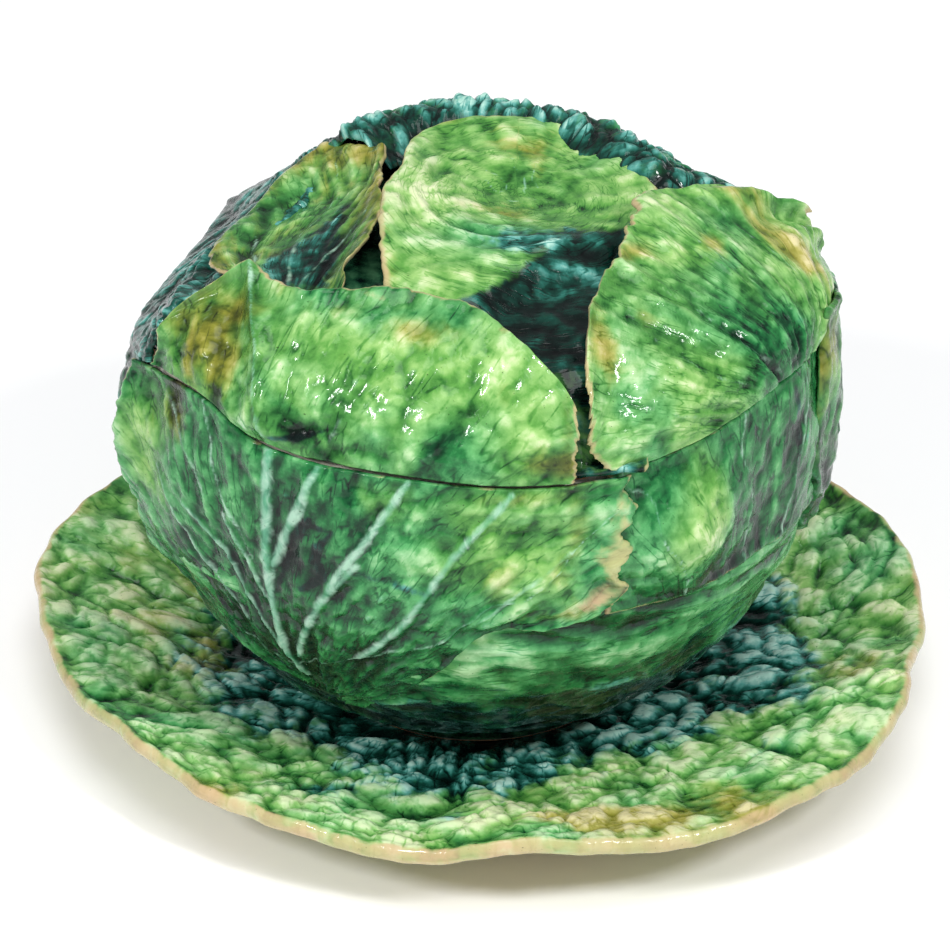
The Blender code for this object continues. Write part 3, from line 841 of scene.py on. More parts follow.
def bowl_leaves(green, lime_green, dark_green):
    """The five leaves round the bowl, cut off flat at the seam apart from the far-right one."""
    front_low = depth_at(
        (-74, 0.080), (-66, 0.098), (-52, 0.114), (-36, 0.132), (-20, 0.122), (-8, 0.094), (1, 0.066),
        (12, 0.066), (19, 0.062), (25, 0.058),
    )

    def front_bumps(u, v, azimuth, run):
        merge = -4.2 * fade(v, 0.42) * smooth((-2 - azimuth) / 12) * smooth((azimuth + 74) / 12)
        flare = 6.0 * smooth((-63 - azimuth) / 9) * bell(run, -0.028, 0.034)
        torn = 3.2 * smooth((azimuth - 17.5) / 5) * smooth(v / 0.2)
        swollen = (
            2.2 * bell(azimuth, -20, 14) * bell(run, -0.034, 0.03)
            - 1.6 * bell(azimuth, -45, 7) * bell(run, -0.05, 0.04)
        )
        lip = 1.3 * bell(azimuth, 8, 14) * bell(run, -0.054, 0.008)
        return merge + flare + torn + swollen + lip

    torn_edge = (
        (0, 19.5), (0.18, 22.6), (0.32, 21.4), (0.48, 23.4), (0.62, 22.2), (0.78, 24.2), (0.90, 22.6),
        (1, 22.8),
    )
    pools = (
        ((-26, -22), (-30, -34), (-31, -46), (-33, -60)), ((-27, -24), (-22, -24), (-25, -34)),
        ((-25, -36), (-24, -46), (-28, -54)), ((-19, -41), (-13, -41), (-7, -46)),
    )
    form_leaf(
        "glazed_bowl_leaf_front", "bowl", green, side(-74, 4.0), torn_edge, front_low, AT_SEAM,
        (-33.5, down(0.128)), (-38, up(0.3)),
        [
            (14, 0.075, 0.025, 1.2 * MM), (-14, 0.085, 0.025, 1.2 * MM), (52, 0.03, 0.02, 1.0 * MM),
            (-60, 0.03, 0.02, 1.0 * MM),
        ],
        10, cuts=("high",), ragged=1.4, bumps=front_bumps,
        ribs=strokes(
            (2.7, 0.85, (-33.5, 6), (-34.2, -45), (-34.8, -90)), (1.6, 0.9, (-34.8, -90), (-33.5, -110)),
            (2.4, 0.75, (-25, 0), (-29, -22), (-33, -47)),
            (2.0, 0.7, (-18.5, -37), (-25, -58), (-30, -82), (-32.5, -95)),
            (2.2, 0.7, (-10.7, 0), (-16, -22), (-22, -45), (-30, -82)),
            (2.1, 0.72, (5, -4), (-4, -30), (-12, -64), (-20, -86)),
            (1.8, 0.7, (-52.5, -38), (-44, -52), (-38.5, -76), (-35.5, -92)),
            (1.6, 0.65, (-43, -34), (-38, -50), (-36, -66)), (1.6, 0.6, (-60, -30), (-50, -62), (-42, -84)),
            (1.4, 0.5, (14, -30), (-2, -62)), (1.3, 0.5, (-58, 4), (-46, -30)),
        ),
        tone=both(
            evenly(-0.05),
            # the first two blots are painted shade: darker low down, where the bowl curves under
            blots(
                (-38, -100, 60, 34, -0.34), (-8, -92, 40, 26, -0.22), (-27, -38, 14, 26, -0.18),
                (-52, -82, 18, 26, -0.18), (0, -18, 30, 12, 0.10), (12, -34, 22, 24, 0.08),
                (-12, -28, 12, 16, 0.08), (-66, -24, 12, 30, 0.04),
            ),
            strokes(
                (1.9, -0.5, *pools[0]), (1.8, -0.45, *pools[1]), (1.7, -0.45, *pools[2]),
                (2.2, -0.45, *pools[3]), (3.0, -0.35, (-4, -58), (8, -60), (15, -66)),
                (2.0, -0.3, (-22, -72), (-12, -80)), (1.8, -0.3, (-58, -40), (-52, -54)),
                (1.4, -0.3, (-36.5, -10), (-37, -60)),
            ),
        ),
        teal=both(
            blots(
                (-29, -16, 8, 12, 0.35), (-26, -44, 10, 14, 0.55), (-48, -44, 8, 16, 0.35),
                (-16, -58, 14, 12, 0.3), (-34, -104, 34, 16, 0.45), (2, -62, 20, 7, 0.4),
                (-58, -84, 10, 18, 0.4), (-20, -84, 16, 9, 0.3), (22.5, -18, 5, 16, 0.35),
            ),
            strokes(
                (1.7, 0.75, *pools[0]), (1.6, 0.7, *pools[1]), (1.5, 0.7, *pools[2]), (2.0, 0.6, *pools[3]),
            ),
        ),
        ochre=blots(
            (-55, 4, 9, 26, 0.75), (-62, -12, 7, 26, 0.35), (4, -6, 26, 6, 0.5), (15, -22, 8, 18, 0.55),
            (2, -38, 9, 12, 0.3), (12, -58, 16, 5, 0.3),
        ),
        lime=blots((-62, -20, 22, 36, 0.75), (6, -20, 42, 30, 0.75), (-14, -10, 20, 10, 0.3)),
        worn=blots(
            (21.8, -10, 4, 9, 0.8), (22.6, -24, 5.5, 10, 0.95), (21.6, -40, 7, 10, 0.85),
            (18, -55, 10, 6, 0.85), (19, -30, 10, 18, 0.45),
        ),
    )
    left_run, right_run = ((49, -2), (52, -60)), ((60, 2), (61, -52))
    form_leaf(
        "glazed_bowl_leaf_right", "bowl", green, side(20.5), side(79),
        ((0, down(0.064)), (90, down(0.064))), AT_SEAM, (52, down(FOOT_RUN_DEPTH)), (46, 0.0),
        [(0, 0, 0.03, 2.0 * MM), (16, 0.02, 0.03, 1.6 * MM), (-18, 0.02, 0.03, 1.6 * MM)], 31,
        cuts=("high",), inset=3.0 * MM, ragged=0.4,
        bumps=lambda u, v, a, run: (
            9.0 * bell(a, 34, 8) * bell(run, -0.034, 0.018) + 1.0 * fade(v, 0.3) - 1.6 * bell(a, 52, 5)
        ),
        tone=both(
            evenly(-0.06),
            # painted light and shade: the bulge at azimuth 34 is lighter on top, and darker along the leaf's
            # low edge below it
            blots(
                (34, -60, 24, 7, -0.22), (34, -30, 15, 15, 0.20), (58, -14, 16, 14, -0.12),
                (56, -44, 14, 18, -0.18), (44, -60, 30, 8, -0.16),
            ),
            strokes((2.2, -0.3, *left_run), (1.8, 0.28, (54, -6), (56, -56)), (1.8, -0.3, *right_run)),
        ),
        teal=both(
            blots((60, -6, 10, 22, 0.35), (63, -44, 8, 24, 0.3), (50, -62, 20, 10, 0.3)),
            strokes((2.0, 0.45, *left_run), (1.8, 0.45, *right_run)),
        ),
        ochre=blots((29, -6, 10, 5, 0.5)), lime=blots((34, -26, 22, 24, 0.75)), puckers=0.6, swells=0.7,
    )
    form_leaf(
        "glazed_bowl_leaf_far_left", "bowl", dark_green, ((0, -130), (0.3, -124), (0.65, -131), (1, -127)),
        side(-69), depth_at((-132, 0.066), (-120, 0.082), (-104, 0.070), (-88, 0.084), (-60, 0.066)),
        AT_SEAM, (-92, down(0.14)), (-92, 0.0), side_veins(4, 0.02, 0.02, 38), 42,
        cuts=("high",), inset=3.0 * MM, puckers=1.8,
        bumps=lambda u, v, a, run: (
            4.6 * bell(a, -84, 12) * bell(run, -0.024, 0.03) + 1.8 * bell(a, -129, 6)
            + 1.8 * smooth(1 - v / 0.3)
        ),
        teal=evenly(0.75), lime=evenly(0.1), tone=evenly(-0.1),
    )
    form_leaf(
        "glazed_bowl_leaf_back", "bowl", dark_green, ((0, 104), (0.35, 111), (0.7, 105), (1, 110)),
        side(235),
        depth_at(
            (100, 0.064), (118, 0.080), (138, 0.068), (160, 0.086), (182, 0.070), (204, 0.084),
            (222, 0.068), (240, 0.064),
        ),
        AT_SEAM, (172, down(FOOT_RUN_DEPTH)), (172, 0.0), side_veins(5, 0.015, 0.02, 46), 53,
        cuts=("high",), inset=3.2 * MM, puckers=1.7,
        bumps=lambda u, v, a, run: 1.8 * smooth(1 - v / 0.3),
        lime=blots((170, -20, 50, 40, 0.8)),
        teal=blots((125, -40, 50, 40, 0.8), (218, -30, 50, 40, 0.8), (170, -20, 60, 20, 0.2)),
        ochre=blots((170, -5, 60, 12, 0.4)),
    )
    crest = ((58, 0.004), (66, 0.014), (72, 0.018), (80, 0.013), (90, 0.008), (108, -0.002))
    far_low = depth_at((58, 0.052), (72, 0.080), (88, 0.088), (108, 0.060))
    form_leaf(
        "glazed_bowl_leaf_far_right", "bowl", lime_green, ((0, 72), (0.5, 68), (1, 71)), side(109), far_low,
        crest, (82, down(FOOT_RUN_DEPTH)), (80, 0.0), side_veins(4, 0.02, 0.02, 34), 64,
        inset=-0.2 * MM, pleats=0.6, ragged=1.3,
        bumps=lambda u, v, a, run: (
            2.2 * smooth((v - 0.25) / 0.6) - 3.0 * fade(v, 0.3) - 2.3 * smooth((78 - a) / 8)
        ),
        teal=blots((88, -50, 30, 22, 0.4), (78, -70, 40, 16, 0.4)),
        ochre=blots((72, 4, 20, 14, 0.65), (66, -20, 8, 18, 0.4), (84, -10, 8, 22, 0.4)),
        lime=blots((76, 0, 40, 34, 0.6)),
        tone=both(evenly(-0.26), blots((80, -60, 50, 22, -0.3), (60, -30, 8, 40, -0.2))),
        inside=0.15, edging=evenly(0.35),
    )


WHORL_TOP = 0.0625  # below the seam
WHORL_STEPS, WHORL_ROWS = 600, 78
WHORL_INSET = 3.9 * MM
WHORL_THICKNESS = 6.6 * MM
WHORL_SLANT = 5.0  # radians per metre down the bowl


def base_whorl(green):
    """The ring of leaf bases round the bottom of the bowl, streaked round and down to the foot."""
    top, bottom = down(WHORL_TOP), down(FOOT_RUN_DEPTH)
    azimuth = np.linspace(-180, 180, WHORL_STEPS, endpoint=False)
    a, y = np.meshgrid(azimuth, np.linspace(top, bottom, WHORL_ROWS))
    point, normal = on_form(a, y)
    turn = np.radians(a)
    slant = turn + WHORL_SLANT * (y + 0.10)
    drag = stack(np.sin(slant) * 0.075, np.cos(slant) * 0.075, y * 1.5)
    swell = noise(drag, 0.024, 71)
    crease = ridges(drag, 0.014, 74, 2.2)
    pucker = quilting(point, 0.013, 72) - 0.5
    ripple = turbulence(point, 0.008, 73, 2)
    height = MM * (2.0 * swell + 1.0 * crease + 0.3 * pucker + 0.3 * ripple)
    edge = smooth((top - y) / 0.006)
    foot = smooth((y - bottom) / 0.014)
    raised = height * np.minimum(edge, foot + 0.2) - 1.5 * MM * (1 - edge)
    outer = point + normal * (raised - WHORL_INSET)[..., None]
    inner = point - normal * WHORL_THICKNESS
    # painted shade with teal glaze: darker and tealer low down and at the foot, where the bowl curves under,
    # and where the whorl tucks under the leaves
    below = smooth((down(0.085) - y) / 0.05)
    light = bell(a, 4, 26) * bell(y, down(0.095), 0.022) + 0.7 * bell(a, 46, 22) * bell(y, down(0.085), 0.02)
    shade = 0.38 + 0.40 * swell + 0.24 * crease + 0.12 * pucker + 0.2 * ripple - 0.30 * below + 0.16 * light
    teal = 0.22 + 0.45 * below + 0.4 * (1 - foot) + 0.3 * (1 - edge) - 0.25 * light
    flow = stack(np.sin(slant) * 2.6, np.cos(slant) * 2.6, y * 95)
    values = glaze_values(flow, shade, 0.0, 0.0, teal, 0.0, 0.25 * light)
    piece = shell_object("glazed_bowl_leaf_base", settle(outer), settle(inner), green, values, {}, wrap=True)
    stand_for(piece, "bowl", "bowl_leaf_base")


def lid_leaves(green, lime_green, dark_green):
    """The four leaves round the lid, which run on from those of the bowl."""
    front_high = edge_at(
        (-64, 22), (-61, 28), (-59, 36), (-56, 42), (-53, 44.5), (-44, 44), (-34, 45), (-20, 48),
        (-8, 47.6), (0, 46), (8, 39), (13, 30), (17.6, 13),
    )

    def front_bumps(u, v, azimuth, run):
        line = along(((0.0, -33.6), (0.55, -39), (1.0, -54)), v)
        ridge = 4.4 * bell(azimuth, line, 2.8) * smooth(v / 0.15)
        bay = -3.4 * bell(azimuth, line - 8, 5.0) * smooth(v / 0.3)
        corner = 1.5 * smooth((azimuth - 2) / 10) * smooth(v / 0.4)
        lip = 1.6 * smooth((v - 0.86) / 0.14) * smooth((-6 - azimuth) / 20)
        hollow = -1.8 * bell(azimuth, -29, 5) * bell(run, 0.014, 0.009)
        return ridge + bay + corner + lip + hollow - 0.5

    form_leaf(
        "glazed_lid_leaf_front", "lid", green, side(-64, 3.0), side(15.0), AT_SEAM, front_high,
        (-33.5, down(0.128)), (-46, up(0.5)), [], 10, cuts=("low",), cup=7.0 * MM,
        puckers=0.8, bumps=front_bumps,
        ribs=strokes(
            (1.2, 0.65, (-33.6, 1), (-35.5, 16), (-39.5, 32), (-46, 40), (-54, 45)),
            (2.0, 0.45, (-33.6, 4), (-35, 14)), (1.8, 0.35, (-25, 2), (-22, 20), (-20, 36)),
            (1.8, 0.3, (-10.7, 2), (-4, 20), (0, 34)), (1.3, 0.3, (-50, 14), (-55, 36)),
            (1.3, 0.3, (-56, 12), (-58, 30)), (1.2, 0.3, (-45, 12), (-50, 38)),
        ),
        tone=both(
            blots(
                (-29, 13, 9, 8, -0.35), (-12, 12, 30, 14, 0.10), (0, 24, 22, 16, 0.07),
                (-22, 34, 40, 10, -0.05), (-45, 16, 10, 16, -0.14), (-56, 24, 8, 18, -0.05),
                (-34, 42, 60, 5, 0.14),
            ),
            strokes(
                (1.5, -0.35, (-33, 7), (-29, 9), (-24, 15)), (1.4, -0.3, (-24, 22), (-20, 30)),
                (1.4, 0.25, (-26, 20), (-24, 8)),
                (2.0, -0.4, (-36.5, 2), (-38.5, 16), (-43, 32), (-51, 42)),
                (1.5, -0.25, (-48, 12), (-55, 34)), (1.5, -0.25, (-54, 10), (-60, 30)),
            ),
            evenly(-0.05),
        ),
        teal=both(
            blots((-29, 12, 7, 7, 0.75), (-31, 5, 10, 4, 0.3), (-38, 10, 5, 8, 0.25)),
            strokes((1.4, 0.5, (-33, 7), (-29, 9), (-24, 15))),
        ),
        ochre=blots(
            (-52, 30, 10, 26, 0.8), (-45, 20, 8, 22, 0.55), (-59, 34, 8, 20, 0.6), (-30, 43, 34, 6, 0.5),
            (-8, 42, 24, 9, 0.55), (-24, 34, 6, 8, 0.4), (4, 30, 7, 10, 0.35), (12, 6, 14, 7, 0.75),
            (-46, 38, 14, 8, 0.4), (14, 22, 5, 16, 0.3),
        ),
        lime=both(
            evenly(0.40), blots((-10, 36, 60, 14, 0.5), (8, 16, 12, 20, 0.3), (-52, 24, 16, 30, 0.4)),
        ),
        worn=blots(
            (-40, 44, 8, 2.5, 0.6), (-24, 46, 16, 2.5, 0.65), (-6, 47, 14, 3, 0.7), (5, 41, 6, 5, 0.7),
            (11, 30, 4, 8, 0.6), (-57, 40, 5, 5, 0.5), (13, 8, 5, 4, 0.5),
        ),
    )
    right_high = edge_at(
        (16.5, 28), (20, 38), (24, 45), (30, 48), (45, 51.5), (58, 53), (74, 53.5), (86, 50), (92, 45),
        (97, 30),
    )

    def right_bumps(u, v, azimuth, run):
        ruffle = 4.6 * smooth((azimuth - 76) / 15) * smooth(v / 0.4) * (0.55 + 0.6 * np.sin(v * 17 + 0.6))
        upright = 2.4 * bell(azimuth, 19, 7) * smooth((v - 0.3) / 0.5)
        return ruffle + upright - 0.5 + 0.6 * smooth((v - 0.85) / 0.15) * bell(azimuth, 46, 22)

    form_leaf(
        "glazed_lid_leaf_right", "lid", lime_green, ((0, 20.5), (0.35, 17.4), (1, 17.6)), side(96), AT_SEAM,
        right_high, (60, -0.034), (56, up(0.6)), [], 86, cuts=("low",), cup=6.4 * MM,
        puckers=0.5, pleats=0.6, bumps=right_bumps, ragged=1.5,
        ribs=strokes(
            (1.3, 0.4, (56, 10), (50, 28), (42, 46)), (1.2, 0.35, (59, 12), (62, 30), (62, 48)),
            (1.2, 0.35, (62, 10), (72, 28), (78, 46)), (1.1, 0.35, (52, 8), (40, 26), (30, 42)),
            (1.1, 0.3, (46, 6), (32, 16), (22, 28)),
        ),
        tone=both(
            evenly(-0.05),
            blots(
                (56, 30, 18, 16, -0.12), (64, 14, 20, 10, -0.10), (28, 22, 16, 20, 0.06),
                (48, 49, 40, 5, 0.14), (52, 8, 16, 6, 0.05), (20, 30, 6, 20, 0.08), (84, 30, 8, 20, 0.05),
            ),
        ),
        teal=blots(
            (60, 26, 14, 10, 0.32), (72, 12, 14, 7, 0.35), (50, 14, 8, 6, 0.2), (66, 40, 10, 8, 0.2),
        ),
        ochre=blots(
            (23, 38, 9, 20, 0.75), (80, 36, 12, 26, 0.85), (40, 50, 34, 6, 0.6), (88, 44, 12, 16, 0.6),
            (34, 42, 10, 12, 0.5), (66, 46, 14, 10, 0.55),
        ),
        lime=both(evenly(0.55), blots((58, 20, 22, 22, -0.45), (84, 34, 14, 30, 0.3))),
    )
    back_high = edge_at((84, 54), (98, 55.5), (115, 56.2), (150, 56.4), (180, 56.4), (205, 56.2), (227, 55))
    roll_run = level(180, 52)

    def back_bumps(u, v, azimuth, run):
        knobs = 1 + 0.5 * noise(stack(np.radians(azimuth) * 0.07, run, 0 * run), 0.011, 99)
        tucked = 4.0 * smooth((99 - azimuth) / 8)
        return (
            3.6 * bell(run, roll_run, 0.011) * knobs - 6.0 * smooth((run - roll_run - 0.006) / 0.012)
            - tucked - 3.0 * smooth((run - roll_run - 0.012) / 0.010)
        )

    form_leaf(
        "glazed_lid_leaf_back", "lid", dark_green, ((0, 98), (0.45, 96), (0.75, 86), (1, 84)), side(231),
        AT_SEAM, back_high, (165, -0.02), (165, up(0.6)), [], 97, cuts=("low",), puckers=2.2,
        folds=1.2, swells=0.15, bumps=back_bumps,
        teal=both(evenly(0.75), blots((118, 46, 30, 16, -0.3), (205, 50, 20, 10, -0.2))),
        lime=evenly(0.15),
        tone=both(evenly(-0.02), blots((190, 52, 90, 9, 0.34), (120, 48, 24, 12, 0.16))),
        ragged=1.6,
    )
    far_high = edge_at((-133, 48), (-118, 47), (-104, 46), (-92, 45.5), (-80, 44), (-72, 42), (-64, 40))
    tuck_run = level(-100, 27)

    def far_bumps(u, v, azimuth, run):
        crest = (
            3.0 * bell(azimuth, -112, 9) * smooth((run - 0.025) / 0.03)
            + 2.4 * bell(azimuth, -86, 6) * smooth(run / 0.03)
        )
        under = smooth((run - tuck_run) / 0.010)
        return (crest + 2.0 * bell(azimuth, -131, 5)) * (1 - under) - 7.5 * under

    form_leaf(
        "glazed_lid_leaf_far_left", "lid", dark_green, ((0, -131), (0.4, -127), (0.75, -133), (1, -130)),
        side(-64.5), AT_SEAM, far_high, (-95, -0.03), (-95, up(0.5)), [], 108, cuts=("low",),
        puckers=1.5, folds=1.7, swells=0.5, bumps=far_bumps, teal=evenly(0.85), lime=evenly(0.1),
        tone=evenly(0.04), ragged=1.6, ochre=blots((-67, 0, 4, 5, 0.9)),
    )


def heart_height(x, y):
    """Height of the lid's outer form over a place in plan."""
    return SEAM_Z + form_height(np.hypot(x, y) + 0.003)


def dome_height(r):
    """Height of the dome's outside above the seam at a plan radius."""
    narrow = np.clip(r / (SEAM_RADIUS - WALL_INSET), 0, 1) ** (DOME_SQUARENESS / 2)
    return DOME_RISE * np.sin(np.arccos(narrow)) ** (2 / DOME_SQUARENESS)


def torn(x, y, margin, size, seed, amount):
    """How far a ragged edge moves the points of a leaf laid out in plan, fading inwards."""
    return turbulence(stack(x, y, 0 * x), size, seed, 3, 0.6) * amount * bell(margin, 0, 5 * MM)


def seated(margin):
    """The share of its relief that a leaf laid out in plan has near its margin."""
    return 0.3 + 0.7 * smooth(margin / (6 * MM))


def heart_leaf(name, material, x, y, z, margin, values):
    """Makes a lid leaf laid out in plan, as a shell about its heights z."""
    half = LEAF_THICKNESS / 2 * rounding(margin)
    outer, inner = settle(stack(x, y, z + half)), settle(stack(x, y, z - half))
    piece = shell_object(name, outer, inner, material, values, {"teal": np.array(0.9)})
    stand_for(piece, "lid", name.replace("glazed_", ""))


CROWN_BACK, CROWN_FRONT = 0.062, -0.133
CROWN_CENTRE = (0.017, -0.002)
CROWN_TWIST = 14  # radians per metre from the centre
CROWN_INSET = 4.6 * MM
DOME_CLEAR = 2.6 * MM
LEFT_HEART_BASE = (-0.072, -0.085)
LEFT_HEART_INSET = 3.6 * MM


def crown(lime_green):
    """The heart leaf: its rim stands up behind, it dips in the middle, and it falls dark to the front."""
    v, u = np.meshgrid(spread(0.182), spread(0.104), indexing="ij")
    y = CROWN_BACK + (CROWN_FRONT - CROWN_BACK) * v
    half_left = along(((0, 0.014), (0.05, 0.030), (0.16, 0.044), (0.34, 0.052), (0.84, 0.054), (1, 0.026)), v)
    half_right = along(
        ((0, 0.016), (0.05, 0.032), (0.16, 0.047), (0.30, 0.056), (0.46, 0.056), (0.75, 0.046), (1, 0.026)),
        v,
    )
    centre = along(((0, 0.014), (0.5, 0.017), (1, 0.036)), v)
    x = centre - half_left + (half_left + half_right) * u
    margin = np.minimum(np.minimum(u, 1 - u) * 0.1, v * 0.188)
    tear = torn(x, y, margin, 0.013, 121, 1.6 * MM)
    x, y = x + tear, y + tear * (v < 0.3)
    flat = stack(x, y, 0 * x)
    dx, dy = x - CROWN_CENTRE[0], y - CROWN_CENTRE[1]
    rho, theta = np.hypot(dx, dy * 0.92), np.arctan2(dx, -dy)
    dip = 9.0 * MM * bell(rho, 0, 0.028)
    fold_line = along(((-0.04, -0.086), (0.0, -0.078), (0.02, -0.060), (0.038, -0.044), (0.06, -0.028)), x)
    fall = 13 * MM * smooth((fold_line + 0.004 - y) / 0.030)
    side_rim = np.minimum(np.minimum(u, 1 - u), v * 1.4)
    curl = 5.0 * MM * fade(side_rim, 0.17) * smooth((0.72 - v) / 0.2)
    twisted = theta + rho * CROWN_TWIST
    swirl = stack(rho, twisted * 0.012, 0 * rho)
    rings = ridges(swirl, 0.0105, 124, 2.2) * bell(rho, 0.040, 0.022)
    rings = rings * smooth((0.3 + np.cos(theta + 0.9)) / 0.9)
    broad = noise(flat, 0.036, 125)
    pucker = quilting(flat, 0.0125, 126) - 0.5
    ripple = turbulence(flat, 0.0085, 127, 2)
    height = MM * (1.6 * broad + 2.0 * rings + 0.9 * pucker + 0.5 * ripple)
    z = heart_height(x, y) - CROWN_INSET - dip - fall + curl + height * seated(margin)
    z = np.maximum(z, SEAM_Z + dome_height(np.hypot(x, y)) + DOME_CLEAR + 0.8 * MM * ripple)
    dark = smooth((fold_line + 0.006 - y) / 0.010) * smooth((x + 0.016) / 0.012)
    dark = dark + spots(x, y, (0.95, 0.036, -0.040, 0.022, 0.012), (0.6, 0.010, -0.046, 0.014, 0.010))
    dark = dark - 0.35 * smooth((-y - 0.098) / 0.02)
    ochre = 0.35 * fade(side_rim, 0.12) + spots(
        x, y, (0.5, 0.022, 0.046, 0.026, 0.012), (0.5, 0.014, -0.012, 0.016, 0.012),
        (0.5, 0.026, 0.022, 0.008, 0.018),
    )
    shade = 0.52 + 0.20 * broad + 0.34 * rings + 0.28 * pucker + 0.28 * ripple - 0.10 * bell(rho, 0, 0.02)
    shade = shade + 0.12 * fade(side_rim, 0.2) - 0.12 * np.minimum(dark, 1)
    rim = bell(margin, 0, 2.4 * MM)
    lime = 0.75 - spots(x, y, (0.5, 0.0, -0.040, 0.03, 0.018))
    cracks = np.clip(ridges(flat, 0.013, 128, 12), 0, 1) * spots(x, y, (0.8, 0.018, 0.014, 0.022, 0.024))
    flow = stack(twisted * 1.2, rho * 150, 0 * rho)
    values = glaze_values(flow, shade, cracks, rim, dark * 0.95, ochre, lime)
    heart_leaf("glazed_lid_leaf_crown", lime_green, x, y, z, margin, values)


def left_heart(lime_green):
    """The cupped leaf left of the crown, with lips that curl up round a dark hollow."""
    v, u = np.meshgrid(spread(0.15), spread(0.072), indexing="ij")
    azimuth = -131 + 96 * v
    a = np.radians(azimuth)
    inner_y = 0.032 - 0.104 * v
    inner_x = -0.0405 - 0.004 * np.sin(v * 9.0) * smooth(v * (1 - v) * 8) - 0.010 * smooth((v - 0.74) / 0.26)
    reach = along(
        ((-131, 0.100), (-118, 0.114), (-100, 0.119), (-85, 0.118), (-60, 0.112), (-35, 0.106)), azimuth,
    )
    outer_x, outer_y = reach * np.sin(a), -reach * np.cos(a)
    x = inner_x + (outer_x - inner_x) * u
    y = inner_y + (outer_y - inner_y) * u
    margin = np.minimum(np.minimum(u, 1 - u) * 0.06, np.minimum(v, 1 - v) * 0.14)
    tear = torn(x, y, margin, 0.012, 141, 1.8 * MM)
    x, y = x + tear, y + tear
    flat = stack(x, y, 0 * x)
    dx, dy = x - LEFT_HEART_BASE[0], y - LEFT_HEART_BASE[1]
    theta, rho = np.arctan2(dx, dy), np.hypot(dx, dy)
    hollow = 7.0 * MM * np.sin(np.pi * np.clip(u, 0, 1)) * smooth(v / 0.3) * smooth((1.15 - v) / 0.3)
    curl = (
        3.6 * MM * fade(u, 0.2) + 6.5 * MM * smooth((u - 0.72) / 0.28) * (0.3 + 0.7 * smooth(v / 0.24))
        + 2.0 * MM * fade(v, 0.15)
    )
    vein = vein_field(
        theta, rho, flat,
        [(0, 0.0, 0.03, 1.4 * MM), (28, 0.01, 0.03, 1.1 * MM), (-26, 0.01, 0.03, 1.1 * MM)], 142,
    )
    broad = noise(flat, 0.030, 143)
    pleat = ridges(stack(theta, rho * 1.2, 0 * rho), 0.11, 144)
    pucker = quilting(flat, 0.0115, 145) - 0.5
    ripple = turbulence(flat, 0.0075, 146, 2)
    height = MM * (1.4 * broad + 1.1 * pleat + 0.7 * pucker + 0.5 * ripple + 0.4 * vein)
    z = heart_height(x, y) - LEFT_HEART_INSET - hollow + curl + height * seated(margin)
    dark = spots(x, y, (0.95, -0.070, -0.048, 0.018, 0.024), (0.6, -0.058, -0.018, 0.008, 0.03))
    ochre = 0.34 + 0.25 * fade(v, 0.2) + 0.2 * smooth((u - 0.8) / 0.2) + 0.3 * fade(u, 0.15)
    shade = 0.33 + 0.18 * broad + 0.34 * pleat + 0.24 * pucker + 0.26 * ripple - 0.10 * hollow / (7 * MM)
    rim = 0.85 * bell(margin, 0, 1.5 * MM)
    values = glaze_values(fanned(theta, rho), shade, vein * 0.5, rim, dark, ochre, 0.6 - 0.3 * dark)
    heart_leaf("glazed_lid_leaf_left", lime_green, x, y, z, margin, values)


# ---------------------------------------------------------------- underplate

PLATE_RADIUS = 0.180
PLATE_RIM_TOP = 0.036
PLATE_THICKNESS = 0.0062
PLATE_FOOT_INNER = 0.070
PLATE_FOOT_OUTER = 0.078
PLATE_FOOT_HEIGHT = 0.0045
PLATE_LIP_STEPS = np.array([0.0, 0.15, 0.45, 0.9, 1.5, 2.2])
PLATE_UNDER_INNER = 0.086
PLATE_STEPS = 840
WELL_RADIUS = 0.066
BRIM_OUTLINE = (
    (-180, 0.178), (-150, 0.184), (-125, 0.188), (-102, 0.188), (-84, 0.176), (-60, 0.169), (-40, 0.168),
    (-10, 0.173), (12, 0.178), (32, 0.184), (52, 0.187), (70, 0.183), (79, 0.180), (92, 0.184), (114, 0.186),
    (140, 0.183), (180, 0.178),
)
# how far out the dark teal round the bowl reaches, by azimuth: teal glaze with painted shade
TEAL_AND_SHADE_REACH = (
    (-180, 0.112), (-130, 0.112), (-96, 0.124), (-75, 0.122), (-55, 0.112), (-42, 0.104), (-30, 0.108),
    (-18, 0.116), (-8, 0.122), (8, 0.116), (20, 0.108), (30, 0.104), (45, 0.110), (60, 0.124),
    (75, 0.138), (90, 0.144), (105, 0.138), (120, 0.120), (180, 0.112),
)


